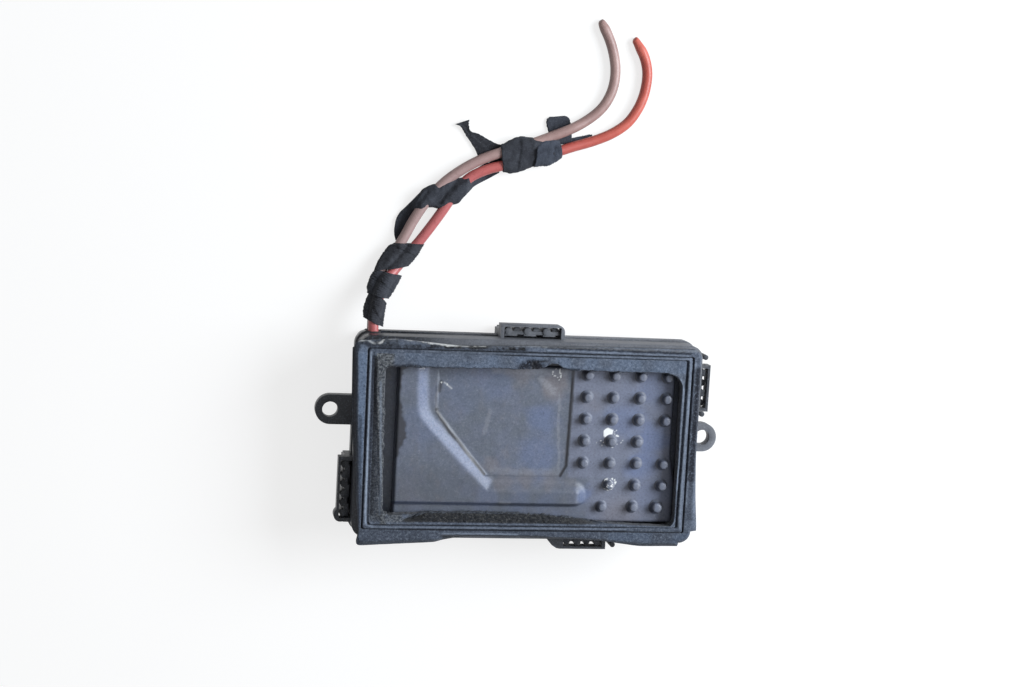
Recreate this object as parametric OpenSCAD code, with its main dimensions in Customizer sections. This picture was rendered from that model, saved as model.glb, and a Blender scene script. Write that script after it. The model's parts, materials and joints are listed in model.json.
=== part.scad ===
// Blower motor resistor: the electronic speed regulator of a car's heater fan. A clipped plastic
// case holds a circuit board behind a cast heat sink that looks out of the front window, a foam
// gasket rings the window, and two cut supply wires leave the side, wound with cloth tape.
// The front faces up. The origin is under the middle of the case, on the surface it rests on.

/* [Housing] */
// Length of the main housing over its walls
body_l = 123; // [118:1:140]
// Width of the main housing over its walls
body_w = 71; // [68:1:84]
// Height of the front face above the surface that the unit rests on
front_h = 26; // [26:0.5:34]
// Radius of the upright corners
corner_r = 4.5; // [4:0.5:7]
// Thickness of the side walls
wall_t = 2.2; // [1.8:0.1:2.6]
// Thickness of the front wall around the window
front_t = 2.5; // [2:0.1:3]

/* [Belt] */
// Height of the belt's lower edge above the surface that the unit rests on
belt_z = 10.5; // [10:0.25:12]
// Height of the belt round the housing
belt_h = 4.5; // [3:0.25:6]
// How far the belt stands out past the front's edge
belt_proud = 0.5; // [0.2:0.1:0.8]
// How far the case below the belt lies inside the front's edge
case_inset = 0.9; // [0.5:0.1:1]

/* [Window] */
// Width of the front wall left of the window
rim_left = 9.5; // [8.5:0.5:12]
// Width of the front wall right of the window
rim_right = 6.5; // [6:0.5:9]
// Width of the front wall above the window
rim_top = 8.5; // [6:0.5:10]
// Width of the front wall below the window
rim_bottom = 5.3; // [5.1:0.1:7]
// Radius of the window's corners
window_r = 3; // [2:0.5:4]
// Depth of the skirt that stands between the front wall and the heat sink
skirt_h = 3; // [2:0.25:3.5]
// Thickness of that skirt
skirt_t = 1.8; // [1.4:0.1:2.2]

/* [Rear cover] */
// Height of the rear cover's side wall
cover_h = 7; // [6:0.25:8]
// Height of the slanted edge round the cover's back
bevel_h = 1.2; // [0.6:0.1:1.5]
// Thickness of the cover's floor
floor_t = 1.8; // [1.4:0.1:2.2]
// Height of the ribs under the floor
foot_h = 1.2; // [0.8:0.1:1.6]
// Height of the spigot that stands inside the main housing
spigot_h = 2.5; // [1.5:0.25:3.5]
// Thickness of the spigot
spigot_t = 1.3; // [1:0.1:1.6]

/* [Mounting ears] */
// Distance between the two screw holes along the length
ear_span = 137.2; // [135:0.2:160]
// Place of the left screw hole along the width
ear_left_y = 7; // [0:0.5:12]
// Place of the right screw hole along the width
ear_right_y = 0; // [-6:0.5:3]
// Diameter of the screw holes
ear_hole_d = 5.6; // [4.2:0.1:6.4]
// Outer radius of the ears
ear_r = 5.3; // [4.8:0.1:6.5]
// Thickness of the ears
ear_t = 4.2; // [3:0.2:6]

/* [Latches] */
// How far the latch brackets stand out from the wall
latch_out = 5; // [4.6:0.1:6]
// Height of the latch brackets
latch_h = 12.5; // [9:0.5:14]
// Length of the top and left brackets
latch_long = 23.2; // [20:0.2:30]
// Length of the right and bottom brackets
latch_short = 17; // [15:0.5:18]
// Thickness of a bracket's outer bar
latch_bar = 0.9; // [0.8:0.1:1.4]
// Height of that bar
latch_bar_h = 4.5; // [3:0.5:6]
// Thickness of a bracket's ends
latch_end = 1.3; // [1.1:0.1:2]
// Diameter of the guide studs beside the short brackets
stud_d = 1.9; // [1.5:0.1:2.4]

/* [Gasket] */
// Thickness of the foam gasket
foam_t = 4; // [3:0.25:6]
// Depth of the two pressed grooves in the foam
groove_depth = 0.9; // [0.5:0.1:1.5]
// Width of each groove
groove_w = 0.8; // [0.6:0.1:1.2]
// Distance from the housing's edge to the outer groove
groove_inset = 4; // [3.5:0.1:4.4]

/* [Heat sink] */
// Thickness of the heat sink's base plate
plate_t = 3; // [2.5:0.25:3.5]
// Height of the pin field above the base plate
field_rise = 3.5; // [2.5:0.25:4]
// Height of the raised channel above the pin field
ridge_rise = 2; // [1.5:0.25:2.5]
// Width of the slope along the raised channel
slope_w = 4.75; // [3.5:0.25:5]
// Depth of the flat pocket below the pin field
pocket_depth = 0.8; // [0.4:0.1:1.2]
// Width of the open gap between the block and the window on the left
moat_left = 4.6; // [3.5:0.1:6]
// Width of the open gap between the block and the window on the right
moat_right = 2.2; // [1:0.1:3]
// Diameter of a cooling pin
pin_d = 3.4; // [2.4:0.1:4]
// Height of a cooling pin
pin_h = 3; // [1.5:0.25:3.5]
// Distance between the columns of pins
pin_pitch_x = 9.75; // [8:0.25:10]
// Distance between the rows of pins
pin_pitch_y = 7.9; // [6:0.1:8]

/* [Electronics] */
// Thickness of the circuit board
board_t = 1.6; // [1:0.2:2]
// Clear space between the board and the cover's floor
board_under = 2.4; // [2.2:0.1:3]
// Length of the electrolytic capacitors
can_l = 20; // [14:1:22]
// Outer diameter of the choke's core
choke_d = 16; // [13:0.5:17]
// Hole diameter of the choke's core
choke_bore = 8; // [7:0.5:9]
// Length of the control socket's front
socket_l = 26; // [24:0.5:30]
// Depth of the control socket's cavity
socket_deep = 11; // [8:0.5:12]

/* [Wires] */
// Diameter of each supply wire
wire_d = 3.7; // [3.2:0.1:3.7]
// Thickness of the wound cloth tape
tape_t = 0.8; // [0.4:0.1:1]

/* [Hidden] */
$fn = 40;
eps = 0.01;

// Clearances
fit = 0.25;
screw_fit = 0.1;

// Case: half sizes, inner half sizes and the window's edges
half_l = body_l / 2;
half_w = body_w / 2;
in_l = half_l - wall_t;
in_w = half_w - wall_t;
win_x0 = rim_left - half_l;
win_x1 = half_l - rim_right;
win_y0 = rim_bottom - half_w;
win_y1 = half_w - rim_top;
face_z = front_h - front_t;
parting_h = 0.7;
parting_deep = 0.5;
belt_gap = 0.9;
low_l = body_l - 2 * case_inset;
low_w = body_w - 2 * case_inset;
ear_shift = -0.9;

// Heat sink: heights, and the edges of the raised block in the window
plate_z1 = face_z - skirt_h;
plate_z0 = plate_z1 - plate_t;
field_z = plate_z1 + field_rise;
plate_gap = 0.8;
block_gap = 0.6;
block_x0 = win_x0 + moat_left;
block_x1 = win_x1 - moat_right;
block_y0 = win_y0 + block_gap;
block_y1 = win_y1 - block_gap;
screw_inset = 3.2;
screw_x = in_l - screw_inset;
screw_y = in_w - screw_inset;
exit_shift = 10;
screws = [[-screw_x, -screw_y], [screw_x, -screw_y], [screw_x, screw_y], [exit_shift - screw_x, screw_y]];
screw_d = 2.5;
head_d = 5.2;
head_h = 1.8;

// Raised channel: the foot lines of its slopes
band_w = 11.1;
band_x = block_x0 + band_w;
bend_y = block_y1 - 16.7;
channel_y0 = block_y0 + 5.5;
channel_w = 9.5;
channel_y1 = channel_y0 + channel_w;
channel_end_x = block_x1 - 35.3;
channel_slope = 2.2;
diagonal_drop = bend_y - channel_y1 + 0.2;
diagonal_lean = 1;
ledge_w = 3;
ledge_y = channel_y1 + 1;
pocket_bend_y = bend_y + 2.4;
pocket_lean = 0.8;
pocket_rim = 2.2;
cut_past = 10;

// Pins, counted from the upper right corner: as many rows as the block has room for
pin_cols = 4;
pin_edge = 2.6;
pin_x1 = block_x1 - 3.2;
pin_y1 = block_y1 - pin_edge;
pin_rows = floor((pin_y1 - block_y0 - pin_edge) / pin_pitch_y) + 1;
last_row = [1.4, 10.1, 21.7];
pocket_x1 = pin_x1 - 3 * pin_pitch_x - 5.8;

// Rear cover and circuit board
floor_z = foot_h + floor_t;
board_z0 = floor_z + board_under;
board_z1 = board_z0 + board_t;
board_gap = 2.8;
board_l = 2 * (in_l - board_gap);
board_w = 2 * (in_w - board_gap);
room_h = plate_z0 - board_z1;
base_z = max(board_z1, cover_h);
post_d = 6.4;
post_in = 5.2;
post_x = board_l / 2 - post_in;
post_y = board_w / 2 - post_in;
post_low_y = post_y - 20;
posts = [[-post_x, -post_y], [post_x, -post_y], [post_x, post_y], [-post_x, post_low_y]];

// Power parts under the heat sink: a row along the length
pad_t = 0.3;
power_xs = [-22, -4, 14];
power_y = 6;
power_w = 10;
power_len = 9;
power_t = 4.4;
tab_len = 6.3;
tab_t = 1.3;
lead_w = 0.8;
lead_t = 0.6;
lead_pitch = 2.54;
lead_y = power_y - power_len / 2 - 4.6;
power_z1 = plate_z0 - pad_t;
power_z0 = power_z1 - power_t;
clamp_xs = [-13, 5];
spring_t = 0.8;
tail_h = 1;

// Parts on the board
can_gap = 0.25;
can_d = room_h - 2 * can_gap;
can_x = board_l / 2 - 8.5 - can_l / 2;
can_ys = [14.5, 2.5];
film_l = 15;
film_w = 7;
film_h = room_h - 1.5;
film_y = -12;
shunt_l = 14;
shunt_y = 11.5 - board_w / 2;
chip_l = 10.4;
chip_w = 7.4;
chip_h = 2.3;
chip_pitch = 1.27;
chip_y = board_w / 2 - 8.5;
small_l = 2;
small_w = 1.2;
small_pitch = 4.5;
small_y = 19.5 - board_w / 2;
thread_bite = 5.5;
choke_x = 17 - board_l / 2;
coil_wire = 1.1;
coil_gap = 0.3;
choke_h = room_h - 2 * (coil_wire + coil_gap) - 1.4;
choke_z = board_z1 + coil_wire + coil_gap + 0.2;
coil_turns = 12;

// Wires' exit, one above the other, and the terminals behind it
exit_x = 5.7 - half_l;
bore_d = wire_d + 0.1;
brown_z = base_z + 3.3;
red_z = brown_z + 4.1;
grommet_w = 5.4;
grommet_flange = 1.2;
grommet_lip = 0.4;
grommet_rise = 0.3;
barrel_l = 7;
barrel_d = 4.6;
brown_barrel_y = in_w - 9.5;
red_barrel_y = brown_barrel_y - 11;

// Control socket in the wall under the window
socket_x = -18;
socket_wall = 1.4;
socket_z0 = base_z + 0.8;
socket_h = plate_z0 - socket_z0 - 0.9;
socket_back = 2.4;
socket_y1 = socket_deep + socket_back - half_w;
blade_xs = [4.4 - socket_l / 2, 10.6 - socket_l / 2];
signal_xs = [socket_l / 2 - 5.4, socket_l / 2 - 3.4];

// Latches: turn from the top one, place along the side, length, studs beyond the ends, gusset, the
// rounded end, and how much that end bulges
latch_z0 = cover_h + parting_h;
latch_z1 = latch_z0 + latch_h;
latches = [
    [0, 0.3, latch_long, [], 0, 1, 0],
    [-90, half_w - 16, latch_short, [-2, 2], 0, 0, 0],
    [180, half_l - 38.5, latch_short, [-4.2], 1, 0, 0],
    [90, 15.5 - half_w, latch_long, [], 0, -1, 0.9],
];
catch_h = 1.5;
root_in = 1.2;
bend_r = 2.4;
tongue_gap = 0.4;
tongue_in = 1.3;
tongue_t = 1.2;
rib_pitch = 3;

// Foam: each point is a place along the side from -1 to 1 and a distance out from the edge
foam_top = [[-0.99, -1.6], [-0.8, -0.6], [-0.62, -1.4], [-0.41, -2.4], [0, -1.6], [0.5, -1.1], [0.9, -1]];
foam_right = [[0.84, -1.1], [0.4, -0.9], [-0.1, -0.7], [-0.5, 0.1], [-0.85, 1.3], [-0.98, 1.1]];
foam_bottom = [
    [0.98, 1.5], [0.68, 1.7], [0.44, -0.2], [0.14, -1], [-0.35, -1], [-0.52, 1], [-0.9, 1.9], [-0.98, 1.7],
];
foam_left = [[-0.94, -0.3], [-0.5, 0.4], [0, 0.9], [0.4, 1.8], [0.86, 2.3]];
hole_top = [[-0.97, -1.9], [-0.3, -1.2], [0.02, -1.1], [0.07, 1.2], [0.13, 0.9], [0.17, -1.1], [0.93, -1.1]];
hole_right = [[0.9, -1.2], [0.5, -1.4], [-0.2, -1], [-0.86, -0.3]];
hole_bottom = [
    [0.93, 0], [0.7, 0], [0.57, -0.2], [0.45, -1.2], [0.3, -2.5], [0.08, -3.7], [-0.22, -4.2],
    [-0.68, -4], [-0.94, -3.6],
];
hole_left = [[-0.84, -0.7], [-0.4, -0.4], [0, 0], [0.3, 0.1], [0.38, -0.4], [0.48, 0.5], [0.86, 0.8]];

// Tape: its play round the wires, and the heights of the wires in and out of it
tape_play = 0.3;
wrap_z = wire_d / 2 + tape_play + tape_t;
lie_z = wire_d / 2 + 0.05;

// Wires: points along each wire's middle, outwards from where it leaves the wall. Both wires have
// a point at each station, so that the tape can follow the pair.
red_run = [
    [0, 3.5, 14.2], [0.6, 7, 12.7], [1.6, 10.7, 10.7], [3, 14.6, 8.4], [5.2, 18.2, 6.1],
    [8.4, 22, 4.1], [12.4, 26.9, wrap_z], [16.4, 31.9, wrap_z], [20.4, 37.5, wrap_z],
    [24.4, 43.5, wrap_z], [28.4, 49.9, wrap_z], [33.2, 55.1, wrap_z], [39.2, 58.3, wrap_z],
    [46.2, 60.4, wrap_z], [54.4, 62.7, wrap_z], [63.4, 65.6, wrap_z], [70.8, 68.2, 2.3],
    [77.8, 70.5, lie_z], [84.5, 73.5, lie_z], [90, 77.5, lie_z], [93.5, 82.5, lie_z],
    [95.5, 87.5, lie_z], [96.4, 92.9, lie_z], [96.2, 97.5, lie_z], [94.8, 101.9, lie_z],
    [92.7, 105.3, lie_z], [90.6, 107.8, lie_z],
];
brown_run = [
    [0, 3.5, 10.1], [0, 7, 8.7], [0.2, 10.7, 6.9], [0.7, 14.9, 4.9], [2, 18.9, 3.4],
    [4.4, 22.9, wrap_z + 0.3], [7.6, 27.5, wrap_z], [10.8, 33.1, wrap_z], [13.8, 39.1, wrap_z],
    [17.8, 45.5, wrap_z], [23.2, 52.1, wrap_z], [29.2, 57.1, wrap_z], [36.4, 61.5, wrap_z],
    [44.2, 64.7, wrap_z], [52.8, 67.5, wrap_z], [61.2, 70.9, wrap_z], [69.8, 74.7, 2.8],
    [75.9, 78.4, 2], [80.2, 82.3, lie_z], [82.9, 86.7, lie_z], [84.3, 91.5, lie_z],
    [84.5, 96.6, lie_z], [83.6, 101.6, lie_z], [81.9, 106.5, lie_z], [79.6, 110.9, lie_z],
    [77.8, 113.5, lie_z],
];
red_route = route_of(red_barrel_y, red_z, red_run);
brown_route = route_of(brown_barrel_y, brown_z, brown_run);

// Tape: the stations that each sleeve covers, and the loose ends, measured like the runs
lower_stations = [3:10];
middle_stations = [12:14];
knot_stations = [16:18];
tail_outline = [
    [42.6, 62.5], [43, 67.3], [37.2, 70.3], [32.9, 71.9], [32.2, 75.7], [29.6, 74.7],
    [27, 74.5], [29.4, 72.1], [33.4, 66.9], [36.4, 62.9], [39.3, 61.3],
];
loop_outline = [
    [65.4, 69.9], [61.6, 75.1], [60.4, 77.1], [62, 78.7], [67.4, 79.4], [69, 78.1],
    [70, 73.5], [70, 70.9],
];

// A wire's whole route: out of its barrel, through the grommet and on along its run
function route_of(y0, z, run) = concat(
    [for (y = [y0 + 1, in_w - 1.5, half_w]) [exit_x, y, z]],
    [for (q = run) [exit_x + q[0], half_w + q[1], q[2]]]
);

// Directions along a list of points: forwards, sideways and upwards
function unit(v) = v / norm(v);
function way(p, i) = unit(p[min(i + 1, len(p) - 1)] - p[max(i - 1, 0)]);
function side_of(t) = unit(cross(t, [0, 0, 1]));
function up_of(t) = cross(side_of(t), t);

// A tube's ring about point c that faces along t, with half sizes a across and b upwards
function ring(c, t, a, b, sides) = [
    for (k = [0:sides - 1])
        let (w = 360 * (k + 0.5) / sides)
            c + side_of(t) * a * cos(w) + up_of(t) * b * sin(w)
];

// Faces between ring i and ring j of the flat list p, split along the shorter diagonals
function flat(l) = [for (a = l) for (b = a) b];
function belt(p, i, j, sides) = flat([
    for (k = [0:sides - 1])
        let (
            a = i * sides + k,
            b = i * sides + (k + 1) % sides,
            c = j * sides + (k + 1) % sides,
            d = j * sides + k
        )
            norm(p[a] - p[c]) < norm(p[b] - p[d]) ? [[a, b, c], [a, c, d]] : [[a, b, d], [b, c, d]]
]);

// A solid cord of diameter d along the points p
module cord(p, d, sides = 8) {
    n = len(p);
    points = flat([for (i = [0:n - 1]) ring(p[i], way(p, i), d / 2, d / 2, sides)]);
    walls = flat([for (i = [0:n - 2]) belt(points, i, i + 1, sides)]);
    start = [for (k = [0:sides - 1]) sides - 1 - k];
    end = [for (k = [0:sides - 1]) (n - 1) * sides + k];
    polyhedron(points, concat(walls, [start, end]));
}

// Where a route crosses the plane through c that faces along t, near its point i
function crossing(route, i, c, t) =
    let (w = way(route, i)) route[i] + w * ((c - route[i]) * t) / (w * t);

// An outline of radius r round the two wires' middles a and b, facing along t
function pair_ring(a, b, t, r, sides) =
    let (u = unit(a - b), v = cross(u, t), h = norm(a - b) / 2 + 1.6 * tape_play)
    [
        for (k = [0:sides - 1])
            let (w = 360 * (k + 0.5) / sides)
                (a + b) / 2 + u * (sign(cos(w)) * h + r * cos(w)) + v * r * sin(w)
    ];

// A hollow sleeve of wall t round both wires, along the given stations of their routes
module sleeve(stations, t, sides = 12) {
    mid = [for (i = [0:len(brown_route) - 1]) (red_route[i] + brown_route[i]) / 2];
    r = wire_d / 2 + tape_play;
    there = [for (i = stations) i];
    n = len(there);
    back = [for (k = [n - 1:-1:0]) there[k]];
    face = [for (i = [0:len(mid) - 1]) way(mid, i)];
    red = [for (i = [0:len(mid) - 1]) crossing(red_route, i, mid[i], face[i])];
    brown = [for (i = [0:len(mid) - 1]) crossing(brown_route, i, mid[i], face[i])];
    outer = [for (i = there) pair_ring(red[i], brown[i], face[i], r + t, sides)];
    inner = [for (i = back) pair_ring(red[i], brown[i], face[i], r, sides)];
    points = flat(concat(outer, inner));
    walls = flat([for (i = [0:2 * n - 1]) belt(points, i, (i + 1) % (2 * n), sides)]);
    polyhedron(points, walls);
}

// A rectangle with round corners, centred
module rounded_rect(l, w, r) {
    square([l - 2 * r, w], center = true);
    square([l, w - 2 * r], center = true);
    for (x = [-1, 1], y = [-1, 1])
        translate([x * (l / 2 - r), y * (w / 2 - r)]) circle(r);
}

module rounded_block(l, w, r, z0, z1) {
    translate([0, 0, z0]) linear_extrude(z1 - z0) rounded_rect(l, w, r);
}

// The window's outline, grown by g on every side
module window_shape(g) {
    translate([(win_x0 + win_x1) / 2, (win_y0 + win_y1) / 2])
        rounded_rect(win_x1 - win_x0 + 2 * g, win_y1 - win_y0 + 2 * g, window_r + g);
}

// Moves a shape whose outside is +Y to a wall of the case
module on_wall(turn, along) {
    reach = abs(turn) == 90 ? half_l : half_w;
    shift = turn == 0 ? [along, reach] : turn == 180 ? [along, -reach] : [-sign(turn) * reach, along];
    translate([shift[0], shift[1], 0]) rotate([0, 0, turn]) children();
}

// A box given by its two corners
module box(a, b) {
    translate(a) cube(b - a);
}

// A bracket's outline, with one end rounded where s is 1 or -1
module loop_shape(l, s, bulge) {
    w = root_in + latch_out;
    translate([-l / 2, -root_in]) square([l, s == 0 ? w : w - bend_r]);
    if (s != 0) {
        translate([-l / 2 - min(s, 0) * bend_r, -root_in]) square([l - bend_r, w]);
        translate([s * (l / 2 - bend_r), latch_out - bend_r + bulge]) circle(bend_r);
    }
}

// A web that runs from a bracket's end down to the wall
module latch_gusset() {
    l = latch_out + 0.5;
    polygon([
        [-eps, -root_in], [l, -root_in], [l, 0], [0.8 * l, 0.36 * latch_out],
        [0.52 * l, 0.74 * latch_out], [0.22 * l, 0.95 * latch_out], [-eps, latch_out],
    ]);
}

// A slotted bracket on a wall, with the ledge that the cover's tongue hooks over
module latch_bracket(t) {
    l = t[2];
    end = l / 2 - latch_end;
    ledge_z = latch_z0 + 2.5;
    translate([0, 0, latch_z1 - latch_bar_h]) linear_extrude(latch_bar_h) difference() {
        loop_shape(l, t[5], t[6]);
        translate([-end, -2 * root_in]) square([2 * end, latch_out - latch_bar + 2 * root_in]);
    }
    for (s = [-1, 1])
        translate([s * (l - latch_end) / 2, 0, 0])
            box([-latch_end / 2, -root_in, latch_z0],
                [latch_end / 2, latch_out - bend_r, latch_z1 - latch_bar_h + eps]);
    if (t[4] == 1)
        translate([l / 2, 0, latch_z0]) linear_extrude(latch_h) latch_gusset();
    box([1 - end, -root_in, ledge_z], [end - 1, tongue_in - fit, ledge_z + catch_h]);
}

// The room that a bracket's slot needs in the belt
module latch_room(l) {
    box([latch_end - l / 2, 0, belt_z - 1], [l / 2 - latch_end, 2 * belt_proud, belt_z + belt_h + 1]);
}

// The tongue that stands on the cover and runs up through a bracket
module latch_tongue(l) {
    a = l / 2 - latch_end - tongue_gap;
    ledge_top = latch_z0 + 2.5 + catch_h;
    front = tongue_in + tongue_t;
    box([-a, -case_inset - eps, cover_h - 5], [a, front, cover_h - 1]);
    box([-a, tongue_in, cover_h - 5], [a, front, latch_z1 - 1.2]);
    box([1 - a, fit, ledge_top], [a - 1, tongue_in + eps, ledge_top + catch_h]);
    lobe_d = latch_out - latch_bar - fit - front + tongue_t;
    n = floor((2 * a - lobe_d) / rib_pitch);
    step = (2 * a - lobe_d) / n;
    for (i = [0:n])
        translate([i * step + lobe_d / 2 - a, tongue_in + lobe_d / 2, latch_z0 + 5])
            cylinder(h = latch_h - 5 - (i % 2 == 0 ? 0.8 : 2), d = lobe_d);
    for (i = [0:2:n - 1])
        translate([i * step - a, 0, latch_z1])
            box([0, belt_proud + fit, -3.6], [step + 1, tongue_in + eps, -1.2]);
}

// A guide stud beside a bracket, on a tab of the cover
module guide_stud(x) {
    y = latch_out - 0.2;
    box([x - stud_d / 2, -case_inset - eps, cover_h - 3.5], [x + stud_d / 2, y, cover_h - 1]);
    translate([x, y, cover_h - 3.5]) cylinder(h = latch_z0 + 6.5 - cover_h + 3.5, d = stud_d);
}

module mounting_ear(turn, y) {
    s = turn > 0 ? -1 : 1;
    x = ear_span / 2 + s * ear_shift;
    z = latch_z0;
    difference() {
        union() {
            translate([s * x, y, z]) cylinder(h = ear_t, r = ear_r);
            translate([min(s * (half_l - 1), s * x), y - ear_r, z]) cube([x - half_l + 1, 2 * ear_r, ear_t]);
        }
        translate([s * x, y, z - 1]) cylinder(h = ear_t + 2, d = ear_hole_d);
    }
}

module main_housing() {
    color("#25272b") difference() {
        union() {
            difference() {
                housing_shell();
                rounded_block(2 * in_l, 2 * in_w, corner_r - wall_t, cover_h - 1, face_z);
                translate([0, 0, face_z - 1]) linear_extrude(front_t + 2) window_shape(0);
            }
            translate([0, 0, plate_z1]) linear_extrude(skirt_h + eps)
                difference() {
                    window_shape(skirt_t);
                    window_shape(0);
                }
            for (p = screws)
                translate([p[0], p[1], plate_z1])
                    cylinder(h = skirt_h + eps, d = 2 * screw_inset - 0.4);
            for (t = latches) on_wall(t[0], t[1]) latch_bracket(t);
            mounting_ear(90, ear_left_y);
            mounting_ear(-90, ear_right_y);
        }
        for (p = screws)
            translate([p[0], p[1], plate_z1 - 1]) cylinder(h = skirt_h + front_t, d = screw_d);
        translate([0, half_w + 1, 0]) rotate([90, 0, 0]) linear_extrude(wall_t + 2) grommet_shape(0);
        box(
            [socket_x - socket_l / 2 - fit, -half_w - 1, socket_z0 - fit],
            [socket_x + socket_l / 2 + fit, -in_w + 1, socket_z0 + socket_h + fit]
        );
    }
}

// The housing's outside: a narrow foot above the parting line, the wall, the belt and the front
module housing_shell() {
    foot = 2 * parting_deep;
    low_r = corner_r - case_inset;
    out = 2 * belt_proud;
    belt_z1 = belt_z + belt_h;
    rounded_block(low_l - foot, low_w - foot, low_r - parting_deep, cover_h, cover_h + parting_h + 1);
    rounded_block(low_l, low_w, low_r, cover_h + parting_h, belt_z + 1);
    difference() {
        rounded_block(body_l + out, body_w + out, corner_r + belt_proud, belt_z, belt_z1);
        for (t = latches) on_wall(t[0], t[1]) latch_room(t[2]);
    }
    rounded_block(low_l, low_w, low_r, belt_z1 - 1, belt_z1 + belt_gap + 1);
    rounded_block(body_l, body_w, corner_r, belt_z1 + belt_gap, front_h);
}

// A block whose lower part narrows to the bottom by d on every side
module drafted_block(l, w, r, z1, h, d) {
    x = l / 2 - r;
    y = w / 2 - r;
    sides = [[-1, 0], [1, 0], [1, h], [1, z1], [-1, z1], [-1, h]];
    rotate([90, 0, 90]) translate([0, 0, -x]) linear_extrude(2 * x)
        polygon([for (q = sides) [q[0] * (w / 2 - (q[1] == 0 ? d : 0)), q[1]]]);
    rotate([90, 0, 0]) translate([0, 0, -y]) linear_extrude(2 * y)
        polygon([for (q = sides) [q[0] * (l / 2 - (q[1] == 0 ? d : 0)), q[1]]]);
    for (a = [-1, 1], b = [-1, 1])
        translate([a * x, b * y, 0]) {
            cylinder(h = h, r1 = r - d, r2 = r);
            translate([0, 0, h]) cylinder(h = z1 - h, r = r);
        }
}

module rear_cover() {
    sl = 2 * (in_l - fit);
    sw = 2 * (in_w - fit);
    color("#303338") difference() {
        union() {
            difference() {
                drafted_block(low_l, low_w, corner_r - case_inset, cover_h, bevel_h, bevel_h);
                rounded_block(2 * in_l, 2 * in_w, corner_r - wall_t, floor_z, cover_h + 1);
                foot_pockets(low_l, low_w);
            }
            difference() {
                rounded_block(sl, sw, corner_r - wall_t, cover_h - 1, cover_h + spigot_h);
                rounded_block(
                    sl - 2 * spigot_t, sw - 2 * spigot_t, corner_r - wall_t - spigot_t + 1,
                    cover_h - 2, cover_h + spigot_h + 1
                );
            }
            for (t = latches) on_wall(t[0], t[1]) {
                latch_tongue(t[2]);
                for (q = t[3]) guide_stud(sign(q) * t[2] / 2 + q);
            }
            spigot_root();
        }
        box([exit_x - 5, in_w - 12, cover_h], [exit_x + 5, in_w, cover_h + spigot_h + 1]);
        box(
            [socket_x - socket_l / 2 - 1, -in_w, cover_h],
            [socket_x + socket_l / 2 + 1, 4 - in_w, cover_h + spigot_h + 1]
        );
    }
}

// Joins the spigot, which stands clear of the main housing, to the cover's wall
module spigot_root() {
    difference() {
        rounded_block(2 * in_l + eps, 2 * in_w + eps, corner_r - wall_t, cover_h - 1, cover_h);
        rounded_block(
            2 * (in_l - fit - spigot_t), 2 * (in_w - fit - spigot_t), corner_r - wall_t - spigot_t + 1,
            cover_h - 2, cover_h + 1
        );
    }
}

// Shallow pockets between the ribs under the cover's floor
module foot_pockets(l, w) {
    cols = 4;
    rows = 2;
    rib = 2.4;
    dx = (l - 2 * corner_r - rib) / cols;
    dy = (w - 2 * corner_r - rib) / rows;
    for (i = [0:cols - 1], j = [0:rows - 1])
        translate([(i - (cols - 1) / 2) * dx, (j - (rows - 1) / 2) * dy, -1])
            linear_extrude(foot_h + 1) rounded_rect(dx - rib, dy - rib, 2);
}

// Points along the four sides of a rectangle, given by its half sizes and middle
function side_points(hx, hy, m, top, right, bottom, left) = concat(
    [for (q = top) m + [q[0] * hx, hy + q[1]]],
    [for (q = right) m + [hx + q[1], q[0] * hy]],
    [for (q = bottom) m + [q[0] * hx, -hy - q[1]]],
    [for (q = left) m + [-hx - q[1], q[0] * hy]]
);

module foam_gasket() {
    wx = (win_x1 - win_x0) / 2;
    wy = (win_y1 - win_y0) / 2;
    middle = [(win_x0 + win_x1) / 2, (win_y0 + win_y1) / 2];
    outline = side_points(half_l, half_w, [0, 0], foam_top, foam_right, foam_bottom, foam_left);
    opening = side_points(wx, wy, middle, hole_top, hole_right, hole_bottom, hole_left);
    color("#3b4354") difference() {
        translate([0, 0, front_h]) linear_extrude(foam_t) difference() {
            polygon(outline);
            polygon(opening);
        }
        for (inset = [groove_inset, groove_inset + 2 * groove_w])
            translate([0, 0, front_h + foam_t - groove_depth]) linear_extrude(groove_depth + 1)
                difference() {
                    square([body_l - 2 * inset, body_w - 2 * inset], center = true);
                    square([body_l - 2 * (inset + groove_w), body_w - 2 * (inset + groove_w)], center = true);
                }
    }
}

// A prism that shaves the solid left of the line from p to q to a slope of width w and height h
module slope_cut(p, q, w, h) {
    d = q - p;
    translate([p[0], p[1], 0]) rotate([0, 0, atan2(d[1], d[0])])
        translate([-cut_past, 0, 0]) rotate([90, 0, 90])
            linear_extrude(norm(d) + 2 * cut_past)
                polygon([[0, 0], [-1, 0], [-1, h + 1], [w, h + 1], [w, h]]);
}

// The raised channel: a band down the left, a triangle under its bend and a low arm to the right
module raised_channel() {
    bend = [band_x, bend_y];
    foot = bend + diagonal_drop * [diagonal_lean, -1];
    lift = band_w / diagonal_lean;
    r = channel_w / 2;
    difference() {
        box([block_x0, channel_y0, 0], [band_x, block_y1, ridge_rise]);
        slope_cut([band_x, channel_y0], [band_x, block_y1], slope_w, ridge_rise);
    }
    difference() {
        linear_extrude(ridge_rise)
            polygon([[block_x0, channel_y0], [foot[0], channel_y0], foot, [block_x0, bend[1] + lift]]);
        slope_cut(foot, [block_x0, bend[1] + lift], slope_w, ridge_rise);
    }
    difference() {
        box([block_x0, channel_y0, 0], [channel_end_x, channel_y1, ridge_rise]);
        slope_cut([channel_end_x, channel_y1], [block_x0, channel_y1], channel_slope, ridge_rise);
        slope_cut([block_x0, channel_y0], [channel_end_x, channel_y0], channel_slope, ridge_rise);
    }
    translate([channel_end_x, channel_y0 + r, 0]) cylinder(h = ridge_rise, r1 = r, r2 = r - channel_slope);
}

module cooling_pin(x, y) {
    translate([x, y, field_z - eps]) cylinder(h = pin_h + eps, d1 = pin_d, d2 = pin_d - 0.3);
}

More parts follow.
